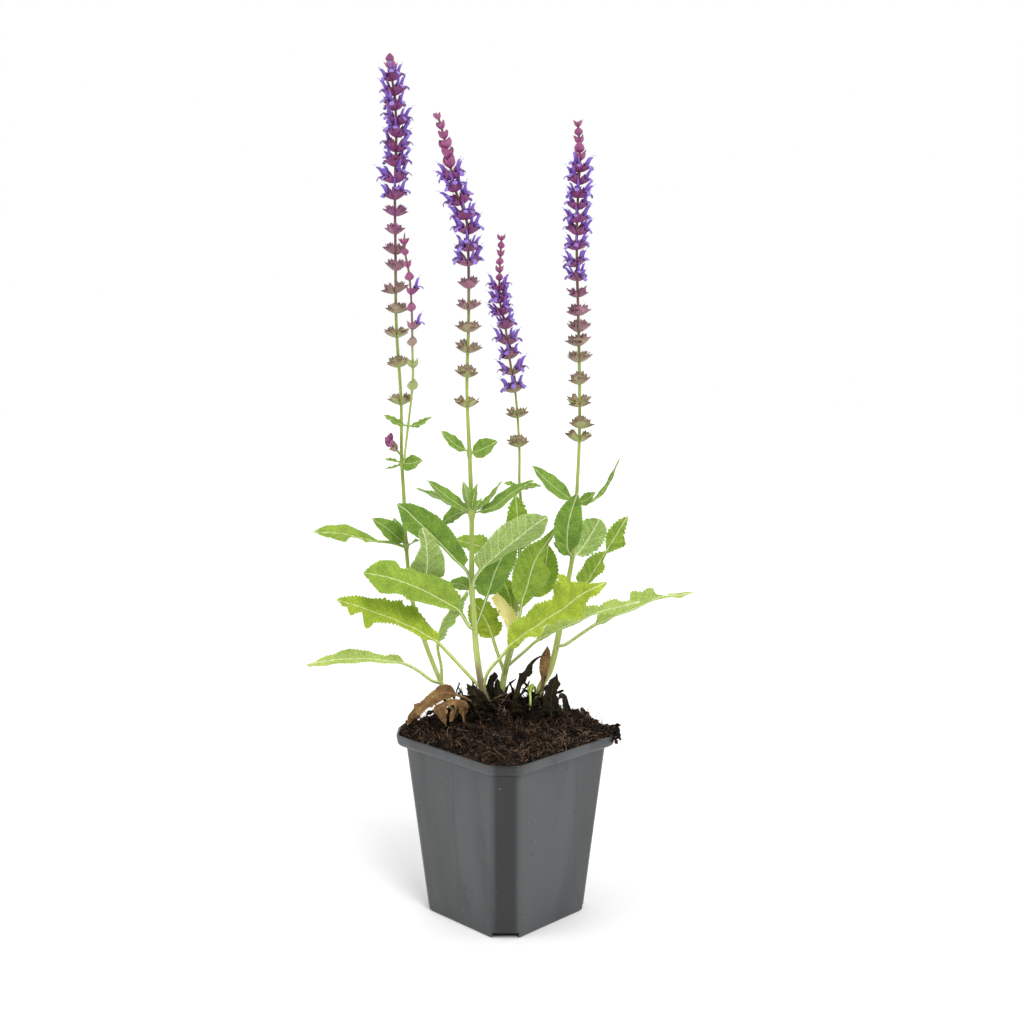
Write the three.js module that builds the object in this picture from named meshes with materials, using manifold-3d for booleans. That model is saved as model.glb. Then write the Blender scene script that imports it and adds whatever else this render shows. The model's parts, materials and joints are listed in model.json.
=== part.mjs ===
// A perennial salvia in its square nursery pot, in millimetres, +Z up.
// The origin is on the floor under the middle of the pot, and the pot's faces are square to X and Y.
// The plant is drawn with one pot corner towards -Y, and the whole group is turned by TURN at the end.
import * as THREE from "three";
import { mergeVertices } from "three/addons/utils/BufferGeometryUtils.js";
import Module from "manifold-3d";

const wasm = await Module();
wasm.setup();

// ---------------------------------------------------------------- driving dimensions

const TURN = Math.PI / 4; // from the drawn pose to faces square to X and Y
const CLEARANCE = 0.3; // between pieces that touch

const POT = {
  height: 95,
  rimSide: 90, // across the flats at the rim
  rimHeight: 7,
  rimLeg: 10.5, // chamfer leg of the rim's corners
  rim: [[0, 0], [1.2, 0.56], [2.6, 0.87], [6.6, 1], [7, 0.94]],
  // the wall steps out to the rim: height over the step's foot, share of the way out
  bodySide: 81.5, // across the flats, just under the rim
  footSide: 66.2,
  leg: 9.4, // chamfer leg of the body's corners
  round: 2.2, // softens the two edges of each chamfer
  wall: 1.1,
  floor: 1.5,
  footLip: 0.6, // the foot's edge is drawn in by this much
  archHeight: 3, // each corner of the floor is raised over a drain
  archDepth: 13, // reach of that raised part, in from the chamfer
  drainRadius: 3.2,
};
const RIM_Z = POT.height - POT.rimHeight;

const SOIL_SIDE = POT.rimSide - 2 * (POT.wall + CLEARANCE);

const SOIL = {
  edge: 93.6, // height at the wall
  mound: 12.8, // how far the middle stands above the edge
  heaps: [[-49, -3, 6, 5], [35, 1, 3.2, 7], [55, 0, 2, 4]], // x, y, height and spread of each heap on it
  lump: 1.6, // height of the crumbly relief
  waves: [[1, 0.31, 0.27, 0.7], [0.6, 0.62, -0.5, 0], [0.5, 0.55, 0.71, 2.6]],
  // the relief's waves: share of its height, radians per mm along X and along Y, phase
  around: 28,
  rings: 6,
};

// Stems: the axis from inside the soil to the tip, and the half width of the square stem by height.
// spikeZ is where the leafy stem ends and the flower spike begins.
const STEMS = {
  left: {
    path: [[-25, 1, 99], [-28, 1, 108], [-33, 2, 119], [-42, 4, 142], [-48, 6, 162], [-51, 8, 189],
      [-52, 9, 215], [-53, 9, 236], [-53, 10, 265], [-55, 11, 303], [-55, 11, 340], [-55, 12, 370],
      [-54, 12, 405], [-57, 12, 434]],
    girth: [[99, 1.3], [189, 1], [265, 0.8], [434, 0.6]],
    spikeZ: 259,
  },
  side: {
    path: [[-52, 9, 232], [-51, 6, 239], [-49, 2, 253], [-47, 0, 268], [-46, -2, 278], [-46, -4, 290],
      [-46, -6, 311], [-47, -7, 328], [-49, -8, 340], [-49, -8, 348]],
    girth: [[232, 0.6], [348, 0.5]],
    spikeZ: 268,
  },
  centre: {
    path: [[-8, -4, 99], [-9, -4, 110], [-12, -5, 119], [-15, -6, 140], [-16, -6, 156], [-17, -6, 169],
      [-17, -7, 198], [-17, -7, 212], [-18, -8, 243], [-19, -9, 272], [-18, -10, 307], [-18, -11, 339],
      [-19, -12, 355], [-24, -12, 368], [-27, -13, 383], [-31, -13, 399], [-33, -13, 404]],
    girth: [[99, 1.8], [156, 1.5], [212, 1.2], [272, 0.8], [404, 0.6]],
    spikeZ: 259,
  },
  short: {
    path: [[-5, 4, 99], [-3, 5, 109], [-1, 6, 122], [2, 8, 136], [5, 10, 155], [7, 12, 182], [8, 14, 206],
      [7, 14, 224], [7, 15, 239], [5, 16, 268], [2, 16, 286], [0, 17, 301], [-3, 17, 316], [-3, 17, 330],
      [-2, 18, 348]],
    girth: [[99, 1.9], [136, 1.6], [182, 0.9], [239, 0.65], [348, 0.55]],
    spikeZ: 237,
  },
  right: {
    path: [[14, 2, 99], [16, 2, 109], [18, 2, 118], [23, 3, 127], [27, 4, 144], [30, 4, 163], [34, 3, 186],
      [36, 2, 219], [37, 1, 246], [37, 0, 267], [36, -2, 306], [35, -3, 335], [35, -4, 358],
      [36, -4, 383], [35, -4, 401]],
    girth: [[99, 1.9], [144, 1.6], [186, 1.1], [246, 0.8], [401, 0.6]],
    spikeZ: 241,
  },
  axil: {
    on: "left",
    path: [[-52.6, 9, 236.6], [-55, 7, 240], [-57.5, 5, 243], [-59, 3.5, 247]],
    girth: [[236, 0.55], [247, 0.45]],
    spikeZ: 236.7,
  },
};

// Spikes: one list of whorl heights for each colour zone, from the bottom up. A zone ends RING_DROP
// under the next zone's first whorl. turn is the azimuth of the lowest bracts; the pairs alternate.
const SPIKES = {
  left: {
    turn: 0,
    spent: [263, 282, 297, 309, 319, 330, 338, 348, 357],
    flowers: [365, 373, 381, 388, 395, 401, 408, 413, 418],
    buds: [422, 426, 430],
  },
  side: {
    turn: 90,
    spent: [],
    flowers: [],
    buds: [271, 282, 293, 301, 310, 318, 325, 331, 337, 342],
  },
  centre: {
    turn: 0,
    spent: [263, 278, 290, 300, 311, 321],
    flowers: [332, 339, 347, 354, 361, 367, 373, 379],
    buds: [384, 388, 393, 397, 401],
  },
  short: {
    turn: 90,
    spent: [241, 256],
    flowers: [269, 278, 286, 293, 301, 308, 314, 320],
    buds: [325, 329, 333, 337, 341, 345],
  },
  right: {
    turn: 0,
    spent: [245, 252, 263, 274, 285, 293, 300, 308, 317],
    flowers: [325, 332, 340, 347, 353, 359, 365, 371, 377],
    buds: [382, 386, 390, 394, 398],
  },
  axil: {
    turn: 45,
    spent: [],
    flowers: [],
    buds: [240, 242.5, 245],
  },
};

// One whorl: a pair of round pointed bracts, with two florets over each of them.
const WHORL = {
  fan: 33, // degrees from a bract to either floret over it
  rise: 38, // degrees that a floret points up
  root: 0.3, // the florets start this far out from the axis, inside the rachis
  calyx: 6.8,
  mouth: 2.1,
  hood: 4.4, // how far the corolla's upper lip reaches past the calyx
  lip: 3, // how far its lower lip hangs under the mouth
  bract: 5.6,
  bractWidth: 5,
  bractRise: 8, // degrees that a bract points up under open or spent florets
  budRise: 42, // and at the closed tip of a spike
  sizes: { spent: [1.15, 0.84], flowers: [1.15, 0.84], buds: [1.15, 0.85] }, // at a spike's foot and tip
};
const ZONES = [["spent", "calyx_spent"], ["flowers", "petal_violet"], ["buds", "bud_magenta"]];
const RING_DROP = 1.5; // the rachis bends this far below a whorl

// Large leaves, a node each. path runs from the stem's axis to the tip; stalk is the share of it with
// no blade; width is across the flat blade; face is where the upper side looks, at the stalk and at
// the tip; fold lifts the edges, in shares of the half width; wave is the edges' rise and fall, in mm;
// belly is where along the blade it is widest, and blunt rounds its ends, the lower the rounder;
// bites are [side, place along the blade, reach, share of the half width taken], below 0 where added.
// A leaf with an outline of its own has left and right instead: how far each margin is from the
// midrib, as [percent along the blade, mm].
const LEAVES = {
  leaf_left_long: {
    on: "left", tint: "leaf_mid", stalk: 0.3, width: 16, wave: 0.3, fold: 0.1, blunt: 0.8, belly: 0.5,
    path: [[-51, 8, 190], [-58, 5, 193], [-69, 1, 195], [-82, -3, 199], [-97, -6, 200.5]],
    face: [[0, -0.35, 0.93], [0, -0.35, 0.93]],
    bites: [["left", 0.1, 0.25, 0.6], ["left", 0.38, 0.17, 0.95], ["left", 0.62, 0.14, -0.3]],
  },
  leaf_left_low: {
    on: "left", tint: "leaf_fresh", stalk: 0.32, wave: 0.4, fold: 0.1,
    path: [[-33.5, 2, 120], [-37.9, -2, 122.4], [-44.9, -4, 128.2], [-51.6, -5.5, 132.2],
      [-61.4, -7, 134.3], [-71.4, -9, 135.8], [-81.3, -11, 136.1], [-91.2, -12.5, 135.4],
      [-100.6, -14, 133.8]],
    face: [[0, -0.6, 0.8], [0, -0.55, 0.85]],
    left: [[5, 1.4], [63, 3.4], [81, 3], [92, 2.2]],
    right: [[2, 1.5], [3, 2.4], [7, 4.2], [14, 4.2], [21, 2.5], [30, 3.1], [36, 4.7], [49, 5.1],
      [55, 5.9], [64, 5.6], [71, 3.7], [91, 0.9]],
  },
  leaf_left_narrow: {
    on: "left", tint: "leaf_mid", stalk: 0.42, width: 15, wave: 0.6, fold: 0.3, blunt: 0.8, belly: 0.4,
    path: [[-33, 2, 118.5], [-33.5, 7, 127], [-35.5, 11, 138], [-32, 17, 150], [-20, 22, 164]],
    face: [[0.85, 0.4, 0], [0.85, 0.4, 0]],
    bites: [],
  },
  leaf_left_behind: {
    on: "left", tint: "leaf_pale", stalk: 0.35, wave: 0.5, fold: 0.15,
    path: [[-48, 6, 162], [-45.4, 2, 168.7], [-41.5, -2, 174.2], [-40, -5, 179.5], [-39.2, -9.5, 186.5],
      [-39.2, -12.5, 192.1], [-39.7, -15, 198.6], [-41.3, -16.5, 204.4]],
    face: [[0, 1, 0.1], [0, 1, 0.2]],
    left: [[6, 7.3], [9, 9.1], [18, 9.2], [51, 7.6], [60, 6.7], [93, 1.8]],
    right: [[1, 7.6], [12, 9.1], [27, 7.8], [65, 3.2], [90, 3], [98, 1.6]],
  },
  leaf_centre_basal: {
    on: "centre", tint: "leaf_fresh", stalk: 0.39, wave: 0.6, fold: 0.12,
    path: [[-11.7, -5, 118], [-25.7, -9, 134.8], [-35.1, -12, 145.7], [-39.7, -13, 148.8],
      [-44.2, -14, 151.9], [-49.7, -15, 154.5], [-55.3, -16.5, 157.6], [-64.6, -18, 161.7],
      [-71.3, -20, 164.7], [-78, -22, 167.3], [-83.3, -24, 169.2]],
    face: [[-0.2, -0.6, 0.75], [-0.1, -0.55, 0.8]],
    left: [[10, 2.7], [18, 2.7], [25, 3.5], [32, 3.1], [38, 3.9], [48, 3.4], [60, 6], [64, 8], [68, 13],
      [72, 14.5], [74, 12], [76, 3], [80, 4.4], [86, 8], [89, 6.7], [90, 3.6], [96, 4.5], [99, 2.7]],
    right: [[1, 2.5], [3, 4.3], [6, 5.3], [18, 6.5], [25, 9.7], [27, 12.1], [31, 12.6], [39, 10.3],
      [43, 12.4], [52, 8.4], [55, 8.2], [59, 9.3], [69, 8], [85, 5.2], [98, 2.1]],
  },
  leaf_centre_low_left: {
    on: "centre", tint: "leaf_mid", stalk: 0.24, wave: 0.7, fold: 0.12,
    path: [[-15.6, -6, 150], [-18.1, -8, 151.9], [-23.7, -11, 161.2], [-29.9, -13, 165.7],
      [-37.3, -15, 170.5], [-45.1, -16, 174.5], [-53.4, -18, 178.2], [-62.2, -19.5, 180.8],
      [-70.2, -21, 182.6]],
    face: [[-0.3, -0.7, 0.65], [-0.1, -0.65, 0.75]],
    left: [[1, 0.9], [7, 2.8], [21, 4.3], [33, 6.7], [46, 8.4], [54, 8.5], [59, 7.5], [72, 10.6],
      [81, 10.9], [97, 5.1]],
    right: [[1, 3], [2, 6], [7, 8.5], [18, 9.9], [36, 9.8], [51, 6.8], [56, 7.7], [62, 7.2], [66, 7.5],
      [68, 9.3], [72, 10.3], [86, 7.6], [94, 4.7], [98, 2.2]],
  },
  leaf_centre_mid_left: {
    on: "centre", tint: "leaf_dark", stalk: 0.21, wave: 0.5, fold: 0.15,
    path: [[-17, -6.1, 172], [-19.4, -8, 180.6], [-23.8, -8.5, 185.5], [-32.7, -8, 194.9], [-39.9, -7, 202],
      [-46.2, -5, 207.6], [-49.9, -3.5, 211], [-54.7, -2, 214]],
    face: [[-0.45, -0.7, 0.55], [-0.35, -0.75, 0.55]],
    left: [[1, 0], [13, 1.2], [32, 0.9], [55, 5.5], [70, 7.1], [76, 7], [89, 4.1], [96, 1.6]],
    right: [[1, 4.3], [13, 6.2], [33, 8.1], [42, 8.7], [57, 8.7], [75, 7], [83, 5.4], [99, 0.9]],
  },
  leaf_centre_mid_right: {
    on: "centre", tint: "leaf_pale", stalk: 0.19, wave: 0.5, fold: 0.35,
    path: [[-17, -6.1, 172], [-15.3, -9, 177.4], [-13, -12, 181.7], [-9.6, -14, 185.8], [-4.5, -17, 190.8],
      [1.7, -19, 196.3], [7.5, -21, 201.1], [11.8, -22.5, 205], [16.1, -24, 208.3], [20.8, -25, 211.6]],
    face: [[-0.33, 0.86, 0.31], [-0.33, 0.86, 0.31]],
    left: [[1, 1.9], [7, 2.1], [18, 3.7], [46, 6.7], [70, 12.2], [79, 9.9], [95, 3.9]],
    right: [[3, 0.5], [9, 6.5], [24, 6.7], [39, 8.7], [62, 9], [70, 8.7], [77, 7.4], [90, 4.5], [95, 1.9],
      [99, 0.9]],
  },
  leaf_centre_low_right: {
    on: "centre", tint: "leaf_dark", stalk: 0.36, wave: 0.6, fold: 0.15,
    path: [[-15.6, -6, 150], [-13, -6.5, 157.1], [-9.6, -7, 167.1], [-7.9, -6.5, 172], [-6.1, -6, 177.9],
      [-3.9, -5, 183.1], [-1.7, -4, 187.3], [2.7, -3, 195]],
    face: [[-0.1, -0.97, 0.25], [0, -0.97, 0.25]],
    left: [[2, 0.9], [3, 3.8], [8, 6.2], [18, 7.8], [31, 7.7], [66, 6], [87, 4]],
    right: [[6, 1], [13, 3.4], [20, 5], [43, 7.1], [63, 7.3], [80, 6.5], [95, 4.4]],
  },
  leaf_short_behind_left: {
    on: "short", tint: "leaf_mid", stalk: 0.3, width: 14, wave: 0.5, fold: 0.12, blunt: 0.7, belly: 0.5,
    path: [[7, 12, 181], [-3, 17, 186], [-15, 20, 189], [-27, 22, 192]],
    face: [[0, -0.45, 0.9], [0, -0.45, 0.9]],
    bites: [],
  },
  leaf_short_tall: {
    on: "short", tint: "leaf_mid", stalk: 0.2, width: 13, wave: 0.5, fold: 0.2,
    path: [[7, 12, 182], [7, 6, 194], [6, 4, 207], [5, 5, 218]],
    face: [[0.05, -0.95, 0.3], [0.05, -0.95, 0.3]],
    bites: [],
  },
  leaf_short_basal: {
    on: "short", tint: "leaf_fresh", stalk: 0.48, wave: 0.5, fold: 0.2,
    path: [[-1.2, 6, 121], [3.2, 0, 137.7], [6.3, -1, 151.1], [7.3, -1, 157.4], [8.4, -1, 163.9],
      [11, -0.5, 171.5], [12.9, 0, 179], [14.9, 1, 184.5], [17.9, 1, 189.7], [20.7, 0.5, 193.9],
      [23.2, 0, 197.6], [26.6, 0, 203.6]],
    face: [[0.1, -0.95, 0.3], [0.2, -0.95, 0.1]],
    left: [[2, 1.4], [10, 6], [16, 7.6], [35, 9.6], [53, 8.6], [63, 7.4], [76, 3.4], [94, 1.1]],
    right: [[1, 1.9], [9, 3.6], [13, 3.6], [31, 8.5], [37, 9.3], [45, 9.5], [49, 8.1], [52, 5.6],
      [56, 3.6], [62, 2.5], [77, 1.2], [97, 0.6]],
  },
  leaf_short_behind_right: {
    on: "short", tint: "leaf_mid", stalk: 0.3, width: 15, wave: 0.5, fold: 0.15, blunt: 0.7, belly: 0.4,
    path: [[5.2, 10, 156], [15, 14, 165], [20, 16, 176], [22, 16, 190]],
    face: [[0.1, -0.9, 0.4], [0.2, -0.95, 0.2]],
    bites: [],
  },
  leaf_short_dark_back: {
    on: "short", tint: "leaf_dark", stalk: 0.3, width: 13, wave: 0.4, fold: 0.15,
    path: [[4.4, 9.6, 150], [3, 14, 158], [1, 17, 165], [-2, 19, 172]],
    face: [[-0.1, -0.8, 0.5], [-0.2, -0.8, 0.5]],
    bites: [],
  },
  leaf_small_crinkled: {
    on: "short", tint: "leaf_fresh", stalk: 0.46, width: 16, wave: 0.9, fold: 0.1, blunt: 0.5, belly: 0.45,
    path: [[-0.7, 6.2, 124], [-5, 10, 136], [-8.5, 9, 147.5], [-12.5, 7, 156], [-17, 6, 163]],
    face: [[-0.2, -0.9, 0.4], [-0.2, -0.9, 0.4]],
    bites: [["right", 0.35, 0.1, 0.25], ["right", 0.65, 0.08, 0.2]],
  },
  leaf_front_big: {
    on: "centre", tint: "leaf_fresh", stalk: 0.32, wave: 0.9, fold: 0.15,
    path: [[-11.7, -5, 118], [-9, -9, 128.5], [-1.2, -14, 139.2], [2.6, -16, 144.7], [8, -18.5, 149.8],
      [13.4, -21, 154.3], [18.7, -24, 158.8], [24, -26, 162.6], [29.2, -29, 166.8], [34.3, -32, 172.1],
      [39.1, -34, 175.5], [49, -37, 181.2]],
    face: [[-0.25, -0.75, 0.6], [-0.25, -0.8, 0.5]],
    left: [[1, 0.9], [7, 5.3], [12, 8.5], [18, 9.1], [26, 7.9], [40, 9.2], [50, 7.5], [53, 8.6],
      [56, 10.7], [57, 12.7], [65, 11.5], [69, 12], [72, 14.1], [74, 8.3], [86, 3.2], [92, 1.7]],
    right: [[4, 2.9], [10, 3.2], [15, 2.8], [23, 3.7], [31, 5.8], [34, 4.8], [36, 2.2], [44, 4.2],
      [60, 6.6], [63, 8.6], [69, 10.4], [74, 9.8], [79, 7.7], [80, 5.6], [83, 4.7], [90, 4.4], [95, 1.8]],
  },
  leaf_under_front: {
    on: "short", tint: "leaf_pale", stalk: 0.31, wave: 0.4, fold: 0.1,
    path: [[0, 6.6, 127], [10.9, -2, 139], [14.9, -6, 143.7], [25.7, -11, 151.1], [36.5, -15, 156.8],
      [44.9, -18, 161.5], [53.4, -19.5, 164.3], [60.2, -20.5, 166.3], [66.6, -21, 168.1]],
    face: [[0, -0.7, 0.7], [0, -0.7, 0.7]],
    left: [[4, 2.8], [24, 6.1], [38, 6.7], [52, 6.2], [58, 4.8], [66, 2.2], [75, 4.8], [80, 4.8],
      [85, 2.5], [94, 1.5]],
    right: [[5, 1.2], [89, 0.7]],
  },
  leaf_far_right: {
    on: "right", tint: "leaf_pale", stalk: 0.34, wave: 0.5, fold: 0.1,
    path: [[25.8, 3.7, 139], [30.4, -1, 141.1], [37.9, -4, 147.1], [46.5, -7, 153.6], [49.9, -8, 155.1],
      [55.3, -9.5, 158.2], [61.2, -11, 160.8], [69.1, -13, 164.5], [74.4, -14.5, 167.6], [81.8, -16, 170.2],
      [87, -17, 170.4], [93.5, -18, 172]],
    face: [[0, -0.75, 0.66], [0, -0.75, 0.66]],
    left: [[2, 2], [3, 4], [6, 4.7], [37, 3], [41, 8.8], [46, 8.8], [53, 6.7], [60, 6.5], [64, 5.7],
      [65, 1.8], [73, 0.1], [78, 1.3], [87, 1.4]],
    right: [[9, 0.6], [62, 0.6], [88, 1.9], [93, 0.7]],
  },
  leaf_right_twisted: {
    on: "right", tint: "leaf_mid", stalk: 0.21, wave: 0.5, fold: 0.12,
    path: [[30.6, 3.9, 163], [37.8, -1, 169.9], [40.8, -2, 173.2], [45.7, -4, 181.8], [50.2, -6, 189.7],
      [52.9, -7, 194.7], [56.8, -8.5, 201.6], [61, -10, 209.4]],
    face: [[-0.6, -0.75, 0.4], [-0.5, -1, 0.2]],
    left: [[2, 6], [29, 6.9], [44, 3.8], [52, 0.7], [67, 3.7], [76, 4.5], [85, 3.9], [96, 1.3]],
    right: [[9, 0.7], [15, 2.4], [32, 5], [38, 4], [41, 1.3], [51, 1.2], [72, 7], [76, 6], [78, 4.2],
      [95, 1.2]],
  },
  leaf_right_front: {
    on: "right", tint: "leaf_dark", stalk: 0.14, width: 14, wave: 0.6, fold: 0.2, blunt: 0.75, belly: 0.45,
    path: [[34, 3, 186], [31.5, -3, 191], [31, -5, 198], [32, -6, 207], [36, -5, 220]],
    face: [[0, -0.97, 0.25], [0, -0.97, 0.25]],
    bites: [],
  },
  leaf_right_round: {
    on: "right", tint: "leaf_pale", stalk: 0.12, width: 16, wave: 0.4, fold: 0.1, blunt: 0.5, belly: 0.55,
    path: [[34, 3, 186], [38, 6, 189], [43, 8, 196], [48, 7, 205]],
    face: [[-0.1, 0.95, 0.1], [-0.1, 0.95, 0.1]],
    bites: [],
  },
  leaf_yellow: {
    on: "short", tint: "leaf_yellow", stalk: 0.29, wave: 0.4, fold: 0.15,
    path: [[2, 8, 136], [1.7, 5, 144.9], [1.4, 4.5, 147.7], [0.6, 4, 153.6], [-1.4, 3.5, 160],
      [-4.3, 4, 167.5]],
    face: [[0.1, -0.9, 0.4], [0.2, -0.8, 0.5]],
    left: [[9, 0.7], [79, 4], [94, 4.2], [98, 2.3]],
    right: [[8, 0.9], [30, 4], [40, 4.8], [87, 1.2]],
  },
};

// Small leaves grown fast to their stem: the stem's own node carries them.
const STEM_LEAVES = {
  left: [
    { path: [[-49, 2, 253], [-55, 0, 255], [-61, -2, 259]], width: 6, face: [0.1, -0.5, 0.85] },
    { path: [[-49, 2, 253], [-43, 0, 254], [-37, -3, 258]], width: 6, face: [-0.1, -0.5, 0.85] },
    { path: [[-53, 9, 234], [-57, 6, 235], [-61, 3, 236]], width: 5, face: [0, -0.3, 0.95] },
    { path: [[-53, 9, 233], [-57, 12, 231], [-62, 15, 230]], width: 5, face: [0, -0.2, 0.95] },
    { path: [[-53, 9, 233], [-47, 4, 234], [-42, 1, 236]], width: 9, face: [-0.2, -0.8, 0.5] },
    { path: [[-51, 8, 191], [-60, 5, 200], [-68, 3, 206]], width: 10, face: [-0.3, -0.6, 0.7] },
    { path: [[-51, 8, 192], [-55, 13, 197], [-58, 17, 204]], width: 7, face: [-0.5, -0.2, 0.8] },
    { path: [[-51, 8, 190], [-48, 4, 193], [-44, 1, 195]], width: 6, face: [0.3, -0.5, 0.8] },
  ],
  centre: [
    { path: [[-18, -8, 241], [-25, -10, 245], [-32, -12, 252]], width: 8, face: [0.3, -0.6, 0.7] },
    { path: [[-18, -8, 240], [-11, -11, 243], [-4, -14, 247]], width: 10, face: [-0.2, -0.8, 0.5] },
    { path: [[-17, -7, 210], [-29, -11, 219], [-39, -15, 228]], width: 8, face: [0.3, -0.6, 0.7] },
    { path: [[-17, -7, 209], [-30, -5, 216], [-45, -2, 222]], width: 7, face: [0.3, 0.6, 0.7] },
    { path: [[-17, -7, 211], [-19, -10, 219], [-21, -12, 227]], width: 5, face: [0.1, 0.9, 0.3] },
    { path: [[-17, -7, 210], [-16, -11, 218], [-14, -14, 226]], width: 4, face: [-0.2, -0.9, 0.3] },
    { path: [[-17, -7, 211], [-14, -4, 214], [-12, -2, 217]], width: 4, face: [-0.3, -0.8, 0.4] },
    { path: [[-17, -7, 210], [-8, -10, 218], [-2, -13, 227]], width: 4, face: [-0.5, -0.6, 0.6] },
    { path: [[-17, -7, 210], [-6, -12, 214], [3, -14, 221], [14, -16, 228]], width: 9,
      face: [-0.2, -0.6, 0.8] },
    { path: [[-17, -7, 211], [-24, 0, 209], [-33, 5, 203]], width: 11, face: [-0.2, -0.7, 0.7] },
    { path: [[-17, -6, 170], [-23, 2, 172], [-30, 7, 171]], width: 9, face: [0, -0.7, 0.7] },
  ],
  short: [
    { path: [[7, 14, 219], [3, 11, 222], [-1, 9, 223]], width: 5, face: [0.1, -0.5, 0.85] },
    { path: [[7, 14, 219], [12, 11, 221], [18, 8, 222]], width: 5, face: [-0.1, -0.5, 0.85] },
  ],
  right: [
    { path: [[36, 2, 214], [24, -2, 223], [13, -5, 234]], width: 10, face: [0.5, -0.7, 0.5] },
    { path: [[36, 2, 214], [41, 0, 216], [45, -2, 220]], width: 7, face: [-0.4, -0.7, 0.6] },
    { path: [[36, 2, 213], [45, 6, 215], [51, 8, 221], [58, 9, 236]], width: 3, face: [-0.5, -0.6, 0.6] },
    { path: [[34, 3, 186], [29, 4, 189], [24, 1, 194]], width: 5, face: [0.3, -0.7, 0.6] },
  ],
};

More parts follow.
